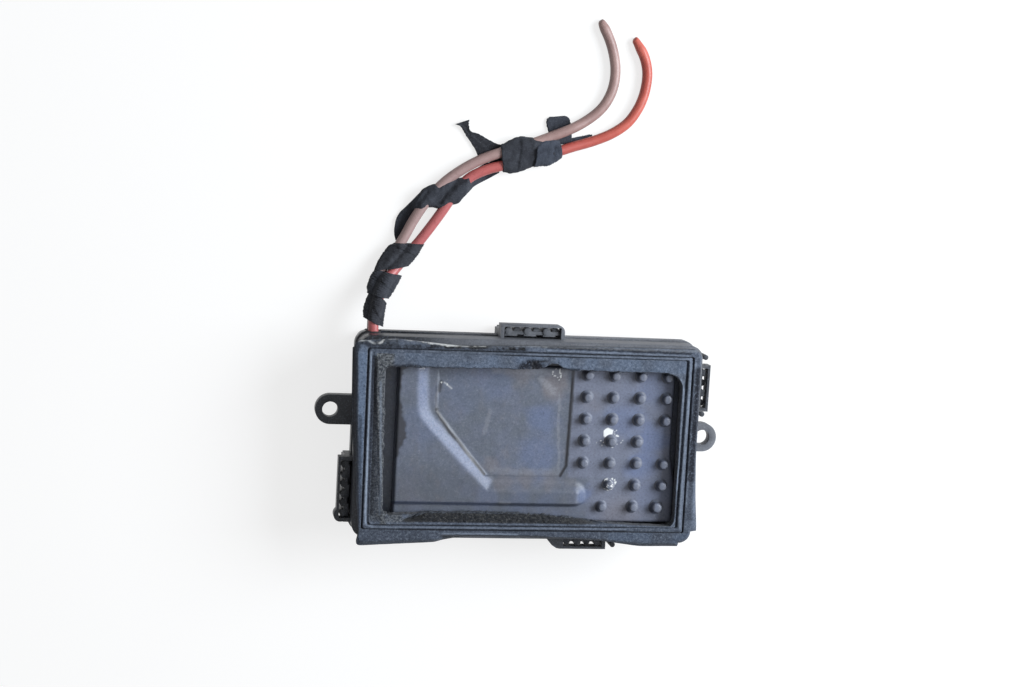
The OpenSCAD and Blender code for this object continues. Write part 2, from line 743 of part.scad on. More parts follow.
module cooling_pins() {
    for (i = [0:pin_cols - 1], j = [0:pin_rows - 2])
        if (!(i == pin_cols - 1 && j == 3) && !(i == 0 && j == 5))
            cooling_pin(pin_x1 - (pin_cols - 1 - i) * pin_pitch_x, pin_y1 - j * pin_pitch_y);
    last_y = pin_y1 - (pin_rows - 1) * pin_pitch_y;
    for (x = last_row)
        cooling_pin(pin_x1 - x, last_y);
}

module heat_sink() {
    x0 = band_x + ledge_w;
    x1 = x0 + pocket_lean * (pocket_bend_y - ledge_y);
    y1 = block_y1 - pocket_rim;
    color("#5a6068") difference() {
        union() {
            rounded_block(
                2 * (in_l - plate_gap), 2 * (in_w - plate_gap), corner_r - wall_t,
                plate_z0, plate_z1
            );
            box([block_x0, block_y0, plate_z1 - eps], [block_x1, block_y1, field_z]);
            translate([0, 0, field_z - eps]) raised_channel();
            cooling_pins();
            for (p = posts)
                translate([p[0], p[1], board_z1]) cylinder(h = room_h + eps, d = post_d);
            for (x = clamp_xs)
                translate([x, power_y, power_z0]) cylinder(h = power_t + pad_t + eps, d = 5.6);
        }
        translate([0, 0, field_z - pocket_depth]) linear_extrude(pocket_depth + 1)
            polygon([[x0, pocket_bend_y], [x0, y1], [pocket_x1, y1], [pocket_x1, ledge_y], [x1, ledge_y]]);
        for (p = posts)
            translate([p[0], p[1], board_z1 - 1]) cylinder(h = 8, d = screw_d);
        for (x = clamp_xs)
            translate([x, power_y, power_z0 - 1]) cylinder(h = 7, d = screw_d);
        for (p = screws)
            translate([p[0], p[1], plate_z0 - 1]) cylinder(h = plate_t + 2, d = 3.2);
    }
}

// A pan head screw that points up, its head's seat at z = 0
module pan_screw(length) {
    difference() {
        union() {
            translate([0, 0, -head_h]) cylinder(h = head_h / 2, d1 = head_d - 1, d2 = head_d);
            translate([0, 0, -head_h / 2]) cylinder(h = head_h / 2, d = head_d);
            cylinder(h = length, d = screw_d - screw_fit);
        }
        for (a = [0, 90])
            rotate([0, 0, a]) translate([-1.5, -0.35, -head_h - 1]) cube([3, 0.7, 2]);
    }
}

module heat_sink_screws() {
    color("#8d9094") for (p = screws)
        translate([p[0], p[1], plate_z0]) pan_screw(plate_t + skirt_h);
}

module board_screws() {
    color("#8d9094") for (p = posts)
        translate([p[0], p[1], board_z0]) pan_screw(board_t + thread_bite);
}

module clamp_screws() {
    color("#8d9094") for (x = clamp_xs)
        translate([x, power_y, power_z0 - spring_t]) pan_screw(spring_t + thread_bite);
}

module circuit_board() {
    color("#2f5d3a") difference() {
        box([-board_l / 2, -board_w / 2, board_z0], [board_l / 2, board_w / 2, board_z1]);
        for (p = posts)
            translate([p[0], p[1], board_z0 - 1]) cylinder(h = board_t + 2, d = 3.2);
        for (x = power_xs, k = [-1, 0, 1])
            translate([x + k * lead_pitch, lead_y, board_z0 - 1]) cylinder(h = board_t + 2, d = 1.4);
        for (y = can_ys, k = [-1, 1])
            translate([can_x - can_l / 2 - 1.6, y + k * 2.5, board_z0 - 1])
                cylinder(h = board_t + 2, d = 1.4);
    }
}

// A power part that lies against the heat sink: body, metal tab and three bent leads
module power_part(x) {
    translate([x, power_y, 0]) {
        color("#1d1e20") difference() {
            box([-power_w / 2, -power_len / 2, power_z0], [power_w / 2, power_len / 2, power_z1]);
            translate([0, 0, power_z0 - 1]) cylinder(h = 1.3, d = 1.6);
        }
        color("#b9bcc0") difference() {
            box(
                [-power_w / 2 + 0.2, power_len / 2 - eps, power_z1 - tab_t],
                [power_w / 2 - 0.2, power_len / 2 + tab_len, power_z1]
            );
            translate([0, power_len / 2 + 3.2, power_z1 - 3]) cylinder(h = 4, d = 3.6);
        }
    }
    z = power_z0 + 1.6;
    color("#c9c6bc") for (k = [-1, 0, 1]) {
        lx = x + k * lead_pitch;
        box(
            [lx - lead_w / 2, lead_y - lead_t / 2, z],
            [lx + lead_w / 2, power_y - power_len / 2 + eps, z + lead_t]
        );
        box(
            [lx - lead_w / 2, lead_y - lead_t / 2, board_z0 - tail_h],
            [lx + lead_w / 2, lead_y + lead_t / 2, z + lead_t]
        );
    }
}

module power_transistor_left() {
    power_part(power_xs[0]);
}

module power_transistor_right() {
    power_part(power_xs[1]);
}

module freewheel_diode() {
    power_part(power_xs[2]);
}

module thermal_pads() {
    color("#9aa7b8") for (x = power_xs)
        box(
            [x - power_w / 2, power_y - power_len / 2, plate_z0 - pad_t],
            [x + power_w / 2, power_y + power_len / 2 + tab_len, plate_z0]
        );
}

module clamp_spring() {
    x0 = power_xs[0] - power_w / 2;
    x1 = power_xs[2] + power_w / 2;
    color("#a8abb0") difference() {
        box([x0, power_y - 3.6, power_z0 - spring_t], [x1, power_y + 3.6, power_z0]);
        for (x = clamp_xs)
            translate([x, power_y, power_z0 - 3]) cylinder(h = 5, d = 3);
    }
}

// An electrolytic capacitor that lies along X, with its two leads bent down through the board
module electrolytic(y) {
    z = board_z1 + room_h / 2;
    x0 = can_x - can_l / 2;
    bead = 2.4;
    color("#20304f") translate([x0, y, z]) rotate([0, 90, 0]) difference() {
        union() {
            cylinder(h = bead - 0.6, d = can_d);
            translate([0, 0, bead - 0.6 - eps]) cylinder(h = 0.8, d = can_d - 0.8);
            translate([0, 0, bead]) cylinder(h = can_l - bead, d = can_d);
        }
        for (a = [0, 60, 120])
            rotate([0, 0, a]) translate([-can_d / 2 + 1.4, -0.2, can_l - 0.3]) cube([can_d - 2.8, 0.4, 1]);
    }
    color("#b9bcc0") for (k = [-1, 1])
        translate([x0, y + k * 2.5, z]) {
            rotate([0, -90, 0]) cylinder(h = 1.6, d = 0.8);
            translate([-1.6, 0, 0]) sphere(d = 0.8);
            translate([-1.6, 0, board_z0 - tail_h - z]) cylinder(h = z - board_z0 + tail_h, d = 0.8);
        }
}

module capacitor_upper() {
    electrolytic(can_ys[0]);
}

module capacitor_lower() {
    electrolytic(can_ys[1]);
}

module choke_core() {
    w = (choke_d - choke_bore) / 2;
    color("#4b4f55") translate([choke_x, 0, choke_z]) rotate_extrude()
        translate([choke_bore / 2 + w / 2, choke_h / 2]) rounded_rect(w, choke_h, 0.8);
}

// Point number t, from 0 to 1, of a winding that runs round the ring and through its hole
function coil_point(t) =
    let (
        w = (choke_d - choke_bore) / 4 + coil_gap + coil_wire / 2,
        h = choke_h / 2 + coil_gap + coil_wire / 2,
        turn = 360 * coil_turns * t - 90,
        c = cos(turn),
        s = sin(turn),
        k = pow(pow(abs(c), 4) + pow(abs(s), 4), -1 / 4),
        r = (choke_d + choke_bore) / 4 + w * c * k,
        a = 100 + 330 * t
    )
    [r * cos(a), r * sin(a), choke_h / 2 + h * s * k];

module choke_winding() {
    steps = 14 * coil_turns;
    route = [for (i = [0:steps]) coil_point(i / steps)];
    color("#a3512a") translate([choke_x, 0, choke_z]) {
        coil_tube(route, coil_wire, 6);
        for (p = [route[0], route[steps]])
            translate([p[0], p[1], board_z1 - choke_z])
                cylinder(h = p[2] - board_z1 + choke_z, d = coil_wire);
    }
}

// A tube whose rings keep their sides square to the ring core, so that it never flips over
module coil_tube(p, d, sides) {
    n = len(p);
    points = flat([
        for (i = [0:n - 1])
            let (
                t = way(p, i),
                out = unit(cross(t, unit([-p[i][1], p[i][0], 0]))),
                across = cross(out, t)
            )
            [
                for (k = [0:sides - 1])
                    let (w = 360 * k / sides)
                        p[i] + d / 2 * (out * cos(w) + across * sin(w))
            ]
    ]);
    walls = flat([for (i = [0:n - 2]) belt(points, i, i + 1, sides)]);
    start = [for (k = [0:sides - 1]) sides - 1 - k];
    end = [for (k = [0:sides - 1]) (n - 1) * sides + k];
    polyhedron(points, concat(walls, [start, end]));
}

module film_capacitor() {
    color("#a8322c") box(
        [can_x - film_l / 2, film_y - film_w / 2, board_z1],
        [can_x + film_l / 2, film_y + film_w / 2, board_z1 + film_h]
    );
}

// A folded metal strip on two feet
module shunt_resistor() {
    color("#b08d57") translate([10, shunt_y, board_z1]) {
        box([-shunt_l / 2, -2, 1.4], [shunt_l / 2, 2, 2.2]);
        for (s = [-1, 1])
            translate([s * (shunt_l / 2 - 0.4), 0, 0]) box([-0.4, -2, 0], [0.4, 2, 1.5]);
    }
}

module control_chip() {
    lead_l = 1.6;
    color("#1d1e20") translate([0, chip_y, board_z1])
        box([-chip_l / 2, -chip_w / 2, 0.2], [chip_l / 2, chip_w / 2, chip_h + 0.2]);
    color("#b9bcc0") for (i = [-3.5:3.5], s = [-1, 1])
        translate([i * chip_pitch, chip_y + s * (chip_w / 2 + lead_l / 2 - 0.1), board_z1])
            box([-0.2, -lead_l / 2, 0], [0.2, lead_l / 2, 0.8]);
}

module surface_parts() {
    color("#7a6a55") for (i = [0:6], j = [0, 1])
        translate([(i - 6) * small_pitch, small_y - j * small_pitch, board_z1])
            box([-small_l / 2, -small_w / 2, 0], [small_l / 2, small_w / 2, 0.7]);
}

// A crimped barrel on a foot that is soldered to the board
module terminal(y, z) {
    color("#b08d57") {
        translate([exit_x, y, z]) rotate([-90, 0, 0]) difference() {
            cylinder(h = barrel_l, d = barrel_d);
            translate([0, 0, 0.6]) cylinder(h = barrel_l, d = bore_d);
        }
        box([exit_x - 1.4, y, board_z1], [exit_x + 1.4, y + barrel_l - 1, z - bore_d / 2 - 0.1]);
    }
}

module supply_terminal() {
    terminal(red_barrel_y, red_z);
}

module ground_terminal() {
    terminal(brown_barrel_y, brown_z);
}

// The grommet's outline in the wall, grown by g
module grommet_shape(g) {
    r = grommet_w / 2 + g;
    for (z = [red_z, brown_z])
        translate([exit_x, z]) circle(r);
    translate([exit_x - r, brown_z]) square([2 * r, red_z - brown_z]);
}

module wire_grommet() {
    color("#1a1b1d") difference() {
        union() {
            translate([0, half_w + grommet_rise, 0]) rotate([90, 0, 0])
                linear_extrude(wall_t + grommet_rise + eps) grommet_shape(0);
            intersection() {
                translate([0, in_w, 0]) rotate([90, 0, 0])
                    linear_extrude(grommet_flange) grommet_shape(grommet_lip);
                rounded_block(2 * (in_l - fit), 2 * in_w, corner_r - wall_t, cover_h + fit, plate_z0 - fit);
            }
        }
        for (z = [red_z, brown_z])
            translate([exit_x, half_w + 1, z]) rotate([90, 0, 0])
                cylinder(h = wall_t + grommet_flange + 2, d = bore_d);
    }
}

// An open-fronted shroud in the wall, on two feet
module control_socket() {
    z1 = socket_z0 + socket_h;
    color("#1f2124") {
        difference() {
            box([socket_x - socket_l / 2, -half_w, socket_z0], [socket_x + socket_l / 2, socket_y1, z1]);
            box(
                [socket_x - socket_l / 2 + socket_wall, -half_w - 1, socket_z0 + socket_wall],
                [socket_x + socket_l / 2 - socket_wall, socket_deep - half_w, z1 - socket_wall]
            );
            for (x = blade_xs) translate([socket_x + x, 0, socket_z0 + socket_h / 2])
                box([-2.4, -half_w, -0.4], [2.4, 0, 0.4]);
            for (x = signal_xs) translate([socket_x + x, 0, socket_z0 + socket_h / 2])
                box([-0.4, -half_w, -0.4], [0.4, 0, 0.4]);
        }
        for (s = [-1, 1]) translate([socket_x + s * (socket_l / 2 - 2), 0, 0])
            box([-1.5, 3.5 - in_w, board_z1], [1.5, socket_y1, socket_z0 + eps]);
    }
}

// Flat contacts that stand in the socket's back wall and bend down to the board
module contacts(xs, w) {
    z = socket_z0 + socket_h / 2;
    y = socket_y1 + 1.2;
    for (x = xs) translate([socket_x + x, 0, 0]) {
        box([-w / 2, socket_deep - half_w - 8, z - 0.4], [w / 2, y, z + 0.4]);
        box([-w / 2, y - 0.8, board_z1], [w / 2, y, z + 0.4]);
    }
}

module motor_blades() {
    color("#c9b98a") contacts(blade_xs, 4.8);
}

module signal_pins() {
    color("#c9b98a") contacts(signal_xs, 0.8);
}

module red_wire() {
    color("#c8443f") cord(red_route, wire_d);
}

module brown_wire() {
    color("#8f6f68") cord(brown_route, wire_d);
}

module tape_lower() {
    color("#23272c") sleeve(lower_stations, tape_t);
}

module tape_middle() {
    color("#23272c") sleeve(middle_stations, tape_t);
}

module tape_knot() {
    color("#23272c") sleeve(knot_stations, tape_t);
}

module tape_tail() {
    color("#23272c") translate([exit_x, half_w, 0]) linear_extrude(tape_t) polygon(tail_outline);
}

module tape_loop() {
    color("#23272c") translate([exit_x, half_w, 0]) linear_extrude(tape_t) polygon(loop_outline);
}

main_housing();
rear_cover();
foam_gasket();
heat_sink();
heat_sink_screws();
circuit_board();
board_screws();
power_transistor_left();
power_transistor_right();
freewheel_diode();
thermal_pads();
clamp_spring();
clamp_screws();
capacitor_upper();
capacitor_lower();
choke_core();
choke_winding();
film_capacitor();
shunt_resistor();
control_chip();
surface_parts();
supply_terminal();
ground_terminal();
control_socket();
motor_blades();
signal_pins();
wire_grommet();
red_wire();
brown_wire();
tape_lower();
tape_middle();
tape_knot();
tape_tail();
tape_loop();
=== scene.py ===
# Blower motor resistor: a clipped plastic case with a cast heat sink in a foam-ringed window,
# two cut supply wires wound with cloth tape, on a pale floor under soft light.
import json
import math

import bmesh
import bpy
import numpy as np
from mathutils import Matrix


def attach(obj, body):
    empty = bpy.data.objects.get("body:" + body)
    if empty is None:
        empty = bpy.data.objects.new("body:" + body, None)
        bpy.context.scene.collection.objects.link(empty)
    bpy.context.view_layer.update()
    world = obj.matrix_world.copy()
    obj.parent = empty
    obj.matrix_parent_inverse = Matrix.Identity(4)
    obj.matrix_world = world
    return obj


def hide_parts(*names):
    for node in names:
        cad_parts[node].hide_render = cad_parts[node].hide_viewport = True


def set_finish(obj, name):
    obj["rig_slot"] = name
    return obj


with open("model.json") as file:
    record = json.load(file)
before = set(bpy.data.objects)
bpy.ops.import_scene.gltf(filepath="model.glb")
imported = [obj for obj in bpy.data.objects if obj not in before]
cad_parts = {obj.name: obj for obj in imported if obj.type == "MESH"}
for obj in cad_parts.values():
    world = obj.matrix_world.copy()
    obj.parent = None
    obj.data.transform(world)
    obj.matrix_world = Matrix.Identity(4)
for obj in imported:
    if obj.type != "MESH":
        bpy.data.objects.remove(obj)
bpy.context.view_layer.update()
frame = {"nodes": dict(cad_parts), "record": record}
nodes = frame["nodes"]
mm = 0.001
print("frame loaded:", len(nodes), "nodes")

# camera: where the eye is, in mm, and its three directions
camera = {
    "eye": (-121.4503, 110.6243, 623.5496),
    "right": (0.98225393, 0.05554815, 0.17914135),
    "down": (0.03186391, -0.99067411, 0.1324745),
    "forward": (0.18482942, -0.12441546, -0.97486352),
    "lens": 61.523, "sensor": 36, "clip": (0.01, 20),
}


def linked(name, data):  # a new object in the scene
    obj = bpy.data.objects.new(name, data)
    bpy.context.scene.collection.objects.link(obj)
    return obj


def aim(obj, right, up, back, at):  # puts an object at a place in m, its axes along three directions
    place = np.eye(4)
    place[:3, :3] = np.array([right, up, back]).T
    place[:3, 3] = at
    obj.matrix_world = Matrix(place.tolist())


def addCamera(c):
    data = bpy.data.cameras.new("view")
    data.sensor_fit = "HORIZONTAL"
    data.sensor_width = c["sensor"]
    data.lens = c["lens"]
    data.clip_start, data.clip_end = c["clip"]
    obj = linked("view", data)
    aim(obj, c["right"], np.negative(c["down"]), np.negative(c["forward"]), np.array(c["eye"]) * mm)
    bpy.context.scene.camera = obj


addCamera(camera)


# shared shape tools
def fade(t):  # s(t) = 3 t^2 - 2 t^3, with t kept from 0 to 1
    t = np.clip(t, 0, 1)
    return t * t * (3 - 2 * t)


def lumps(x, y, size, seed):  # random heights from -1 to 1, one each size, joined by s(t)
    table = np.random.default_rng(seed).uniform(-1, 1, (64, 64))
    x, y = np.asarray(x) / size, np.asarray(y) / size
    i, j = np.floor(x).astype(int), np.floor(y).astype(int)
    u, v = fade(x - i), fade(y - j)
    a, b = table[i % 64, j % 64], table[(i + 1) % 64, j % 64]
    c, d = table[i % 64, (j + 1) % 64], table[(i + 1) % 64, (j + 1) % 64]
    return (a * (1 - u) + b * u) * (1 - v) + (c * (1 - u) + d * u) * v


def stroke(x, y, points, width):  # s(1.3 - d / width), d being the distance to a line through the points
    best = np.full(np.shape(x), 1e9)
    for (x0, y0), (x1, y1) in zip(points[:-1], points[1:]):
        dx, dy = x1 - x0, y1 - y0
        t = np.clip(((x - x0) * dx + (y - y0) * dy) / (dx * dx + dy * dy), 0, 1)
        best = np.minimum(best, np.hypot(x - x0 - t * dx, y - y0 - t * dy))
    return fade(1.3 - best / width)


def painted(x, y, strokes, wobble, seed):  # the strongest of (width, strength, points), shaken a little
    x = x + wobble * lumps(x, y, 1.6, seed)
    y = y + wobble * lumps(x, y, 1.1, seed + 1)
    mask = 0 * x
    for width, strength, points in strokes:
        mask = np.maximum(mask, strength * stroke(x, y, points, width))
    return mask


def cells(rows, cols, ringRows=False, ringCols=False, start=0):  # the quads of a grid of points
    i, j = np.meshgrid(np.arange(rows - (not ringRows)), np.arange(cols - (not ringCols)), indexing="ij")
    k, m = (i + 1) % rows, (j + 1) % cols
    return (np.stack([i * cols + j, k * cols + j, k * cols + m, i * cols + m], -1) + start).reshape(-1, 4)


def softMax(a, b, k):  # (a + b + sqrt((a - b)^2 + k^2)) / 2
    return (a + b + np.sqrt((a - b) ** 2 + k * k)) / 2


def unit(v):
    return v / np.maximum(np.linalg.norm(v, axis=-1, keepdims=True), 1e-12)


def along(points, s):  # Catmull-Rom: P(s) through point number 0, 1, 2 ... at whole s
    points = np.asarray(points, float)
    last = len(points) - 1
    s = np.clip(np.asarray(s, float), 0, last)
    i = np.clip(np.floor(s).astype(int), 0, last - 1)
    t = (s - i)[..., None]
    padded = np.concatenate([[2 * points[0] - points[1]], points, [2 * points[-1] - points[-2]]])
    a, b, c, d = (padded[i + k] for k in range(4))
    return 0.5 * (2 * b + (c - a) * t + (2 * a - 5 * b + 4 * c - d) * t**2 + (3 * b - a - 3 * c + d) * t**3)


def makePiece(name, points, faces, finish, slotName, seams=None, values=None):
    # points in mm, faces as lists of corner numbers; values are attributes, one number a point
    mesh = bpy.data.meshes.new(name)
    places = np.asarray(points, float).reshape(-1, 3) * mm
    mesh.from_pydata(places.tolist(), [], [list(map(int, f)) for f in faces])
    for key, numbers in (values or {}).items():
        layer = mesh.attributes.new(key, "FLOAT", "POINT")
        layer.data.foreach_set("value", np.ravel(numbers).astype(np.float32))
    mesh.polygons.foreach_set("use_smooth", np.full(len(mesh.polygons), True))
    mesh.update()
    for m in finish if isinstance(finish, list) else [finish]:
        mesh.materials.append(m)
    obj = linked(name, mesh)
    if seams is not None:
        mesh.polygons.foreach_set("material_index", np.asarray(seams, np.int32))
    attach(obj, "root")
    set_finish(obj, slotName)
    return obj


def closedGrid(grid):  # faces of rows of closed loops, with both ends capped
    rows, cols = grid.shape[:2]
    faces = cells(rows, cols, False, True).tolist()
    faces.append(list(range(cols - 1, -1, -1)))
    faces.append(list(range((rows - 1) * cols, rows * cols)))
    return faces


def turnOut(obj):  # turns every face outwards
    work = bmesh.new()
    work.from_mesh(obj.data)
    bmesh.ops.recalc_face_normals(work, faces=work.faces)
    work.to_mesh(obj.data)
    work.free()


# shader maths
class Value:
    def __init__(self, graph, socket):
        self.graph, self.socket = graph, socket

    def maths(self, operation, *values):
        return self.graph.node("Math", {"operation": operation}, dict(enumerate(values)))

    def __add__(self, other):
        return self.maths("ADD", self, other)

    __radd__ = __add__

    def __mul__(self, other):
        return self.maths("MULTIPLY", self, other)

    __rmul__ = __mul__

    def __sub__(self, other):
        return self.maths("SUBTRACT", self, other)

    def __rsub__(self, other):
        return self.maths("SUBTRACT", other, self)

    def step(self, low, high):  # 0 below low, 1 above high
        return self.graph.node("MapRange", {"interpolation_type": "SMOOTHSTEP"}, {0: self, 1: low, 2: high})


class Graph:
    def __init__(self, tree):
        self.tree = tree

    def feed(self, socket, value):
        if isinstance(value, Value):
            self.tree.links.new(value.socket, socket)
        elif isinstance(value, (tuple, list)) and socket.type == "RGBA":
            socket.default_value = (*value[:3], 1)
        else:
            socket.default_value = value

    def node(self, kind, settings=None, sockets=None, out=0):
        node = self.tree.nodes.new("ShaderNode" + kind)
        for key, value in (settings or {}).items():
            setattr(node, key, value)
        for key, value in (sockets or {}).items():
            self.feed(node.inputs[key], value)
        return Value(self, node.outputs[out])

    def watched(self):  # 1 for rays from the camera, mirrored ones and ones seen through things
        kinds = ("Camera", "Glossy", "Transmission")
        direct, glossy, through = (self.node("LightPath", out=f"Is {k} Ray") for k in kinds)
        return direct + glossy + through


class Finish(Graph):
    def __init__(self, name, **fixed):
        self.material = bpy.data.materials.new(name)
        self.material.use_nodes = True
        super().__init__(self.material.node_tree)
        self.shader = self.tree.nodes["Principled BSDF"]
        for key, value in fixed.items():
            self.feed(self.shader.inputs[key.replace("_", " ")], value)
        self.place = self.node("TexCoord", out="Object")

    def spot(self, turn=(0, 0, 0), stretch=(1, 1, 1)):  # object coordinates in mm
        scale = tuple(s / mm for s in stretch)
        return self.node("Mapping", None, {"Vector": self.place, "Rotation": turn, "Scale": scale})

    def axis(self, name):  # one object coordinate in mm
        return self.node("SeparateXYZ", None, {0: self.place}, name) * (1 / mm)

    def noise(self, size, detail=2, rough=0.5, where=None):  # cloud noise, its grain size in mm
        sockets = {"Vector": where or self.spot(), "Scale": 1 / size, "Detail": detail, "Roughness": rough}
        return self.node("TexNoise", None, sockets)

    def flakes(self, size):  # distance to the nearest of scattered points, about size mm apart
        return self.node("TexVoronoi", None, {"Vector": self.spot(), "Scale": 1 / size})

    def attribute(self, name):
        return self.node("Attribute", {"attribute_name": name}, None, "Fac")

    def mix(self, factor, a, b):
        sockets = {"Factor": factor, 6: a, 7: b}
        return self.node("Mix", {"data_type": "RGBA"}, sockets, 2)

    def bump(self, height, distance, strength=1.0, under=None):
        sockets = {"Height": height, "Distance": distance * mm, "Strength": strength}
        if under:
            sockets["Normal"] = under
        return self.node("Bump", None, sockets)

    def done(self, color, roughness, normal):
        for key, value in (("Base Color", color), ("Roughness", roughness), ("Normal", normal)):
            self.feed(self.shader.inputs[key], value)
        return self.material


def tone(r, g, b):  # a colour as it is seen, 0 to 255, to the light it sends back
    return tuple((c / 255 / 12.92) if c <= 10 else ((c / 255 + 0.055) / 1.055) ** 2.4 for c in (r, g, b))


# finishes of the case
def mouldedPlastic(name, base, dust, rough):
    f = Finish(name, Specular_IOR_Level=0.25)
    broad = f.noise(9, 3, 0.6)
    fine = f.noise(0.7, 4, 0.75)
    scuff = f.noise(1.1, 5, 0.75, f.spot(stretch=(0.35, 1, 1))).step(0.56, 0.74)
    x, y = f.axis("X"), f.axis("Y")
    # painted shade at the left end and the top left, where the case's own shadow falls, and darker along the
    # lower wall and on the upper half of the right wall, where the latches are
    darkPatches = x.step(-50, -63) * 0.7 + y.step(32.8, 34) * x.step(-20, -48) * 0.85
    darkPatches = darkPatches + y.step(-35.6, -36.8) * 0.6 + x.step(61.4, 62.4) * y.step(7.6, 8.4) * 0.6
    color = f.mix(broad.step(0.35, 0.7), tuple(c * 0.82 for c in base), tuple(c * 1.12 for c in base))
    color = f.mix(fine.step(0.5, 0.34) * 0.55, color, tuple(c * 0.45 for c in base))
    color = f.mix(scuff * 0.4, color, dust)
    color = f.mix(fine.step(0.56, 0.74) * 0.4, color, tuple(c * 1.4 for c in dust))
    color = f.mix(darkPatches.step(0, 0.95), color, f.mix(fine.step(0.5, 0.66), tone(34, 37, 42), tone(74, 80, 92)))
    normal = f.bump(fine, 0.05)
    normal = f.bump(broad, 0.12, 0.5, normal)
    return f.done(color, broad * 0.16 + scuff * 0.12 + (rough - 0.08) - darkPatches * 0.15, normal)


def castCoat(name):
    f = Finish(name, Specular_IOR_Level=0.42)
    spot = f.spot()
    broad = f.noise(12, 4, 0.62, spot)
    blotch = f.noise(4.2, 4, 0.62, f.spot(stretch=(1, 0.7, 1)))
    grain = f.noise(0.8, 5, 0.8, spot)
    grit = f.noise(1.3, 5, 0.8, spot)
    color = f.mix(broad.step(0.38, 0.66), tone(92, 99, 111), tone(98, 105, 122))
    color = f.mix(blotch.step(0.5, 0.72) * 0.45, color, tone(108, 108, 116))
    color = f.mix(f.attribute("field") * 0.8, color, tone(112, 118, 137))
    color = f.mix(f.attribute("blue") * 0.7, color, tone(98, 114, 152))
    color = f.mix(f.attribute("brown") * 0.75, color, tone(122, 116, 118))
    # painted reflection of the key lamp on the slopes' faces, bluish
    slope = f.mix(grit.step(0.4, 0.62), tone(94, 108, 138), tone(112, 121, 148))
    color = f.mix(f.attribute("slopeReflection") * 0.85, color, slope)
    # painted highlights on edges and on the pins' sides towards the key lamp, and pale dust
    color = f.mix(f.attribute("light") * grit.step(0.25, 0.5), color, tone(148, 150, 158))
    color = f.mix(grain.step(0.5, 0.32) * 0.45, color, tone(62, 67, 78))
    color = f.mix(grain.step(0.52, 0.72) * 0.4, color, tone(146, 150, 162))
    color = f.mix(grit.step(0.6, 0.72) * 0.22, color, tone(70, 72, 80))
    # painted shade in creases, under the foam's edge, beside and on the pins and along the rim, with some
    # dark marks and a darker left edge
    color = f.mix(f.attribute("darkening") * grit.step(0.2, 0.42), color, tone(48, 50, 57))
    color = f.mix(f.attribute("chip"), color, tone(238, 240, 240))
    rough = blotch * 0.2 + grain * 0.12 + 0.26
    normal = f.bump(grain, 0.05, 0.8)
    normal = f.bump(blotch, 0.25, 0.35, normal)
    return f.done(color, rough + f.attribute("chip") * 0.25, normal)


def foamSkin(name):
    f = Finish(name, Specular_IOR_Level=0.15, Sheen_Weight=0.1, Sheen_Roughness=0.5)
    cell = f.flakes(0.4)
    grain = f.noise(0.85, 5, 0.85)
    broad = f.noise(7, 4, 0.6)
    torn, crack, worn = f.attribute("torn"), f.attribute("crack"), f.attribute("worn")
    color = f.mix(broad.step(0.35, 0.65), tone(80, 88, 102), tone(96, 105, 121))
    color = f.mix(f.attribute("blue"), color, tone(104, 121, 146))
    color = f.mix(worn, color, f.mix(grain.step(0.44, 0.58), tone(54, 56, 60), tone(112, 114, 114)))
    color = f.mix(f.axis("Y").step(-29.6, -32) * 0.5, color, tone(48, 52, 62))
    color = f.mix(grain.step(0.51, 0.38) * 0.6, color, tone(44, 49, 60))
    color = f.mix(grain.step(0.51, 0.66) * 0.5, color, tone(138, 148, 162))
    speckle = f.noise(0.8, 5, 0.85)
    ragged = f.mix(speckle.step(0.5, 0.62), tone(26, 27, 30), tone(78, 78, 76))
    color = f.mix(torn * 0.95, color, ragged)
    # painted highlights along ridges and edges
    color = f.mix(f.attribute("pale") * speckle.step(0.3, 0.52), color, tone(146, 158, 176))
    # painted shade in grooves, along edges and down the sides
    color = f.mix(f.attribute("dark") * speckle.step(0.68, 0.5), color, tone(26, 28, 36))
    color = f.mix(crack * f.noise(0.8, 4, 0.7).step(0.34, 0.46), color, tone(214, 216, 216))
    normal = f.bump(cell, 0.1, 0.5)
    normal = f.bump(grain, 0.14, 0.7, normal)
    return f.done(color, 0.74 + grain * 0.2, normal)


def fleeceTape(name):
    f = Finish(name, Specular_IOR_Level=0.12, Sheen_Weight=0.12, Sheen_Roughness=0.45)
    fibre = f.noise(0.22, 4, 0.8, f.spot((0.4, 0.3, 0.6), (1, 0.22, 1)))
    cross = f.noise(0.22, 4, 0.8, f.spot((0.9, -0.4, -0.5), (0.22, 1, 1)))
    broad = f.noise(4, 3, 0.6)
    lint = f.noise(0.45, 3, 0.7).step(0.62, 0.72)
    color = f.mix(broad.step(0.35, 0.7), tone(45, 46, 51), tone(60, 62, 68))
    color = f.mix((fibre * cross).step(0.22, 0.4) * 0.6, color, tone(80, 83, 90))
    color = f.mix(f.attribute("pale") * 0.6, color, tone(86, 95, 112))
    color = f.mix(lint * 0.5, color, tone(112, 115, 120))
    normal = f.bump(fibre, 0.12, 0.7)
    normal = f.bump(cross, 0.12, 0.7, normal)
    return f.done(color, 0.8 + broad * 0.15, normal)


def wireSkin(name, low, high, darkening, faded):
    f = Finish(name, Specular_IOR_Level=0.5)
    broad = f.noise(11, 3, 0.5)
    darkPatches = f.noise(1.4, 5, 0.75, f.spot(stretch=(0.6, 0.6, 1)))
    drawn = f.noise(0.35, 2, 0.5)
    color = f.mix(broad.step(0.35, 0.65), low, high)
    color = f.mix(f.axis("Y").step(112, 84) * 0.8, color, faded)
    color = f.mix(darkPatches.step(0.54, 0.72) * 0.5, color, darkening)
    color = f.mix(drawn.step(0.62, 0.75) * 0.25, color, tuple(min(1, c * 1.5 + 0.08) for c in high))
    return f.done(color, 0.3 + darkPatches * 0.22, f.bump(drawn, 0.02, 0.5))


def cutCopper(name):
    f = Finish(name, Metallic=1.0)
    strands = f.flakes(0.42)
    color = f.mix(strands.step(0.1, 0.6), tone(214, 140, 100), tone(120, 66, 44))
    return f.done(color, 0.35 + strands * 0.3, f.bump(1 - strands, 0.15))


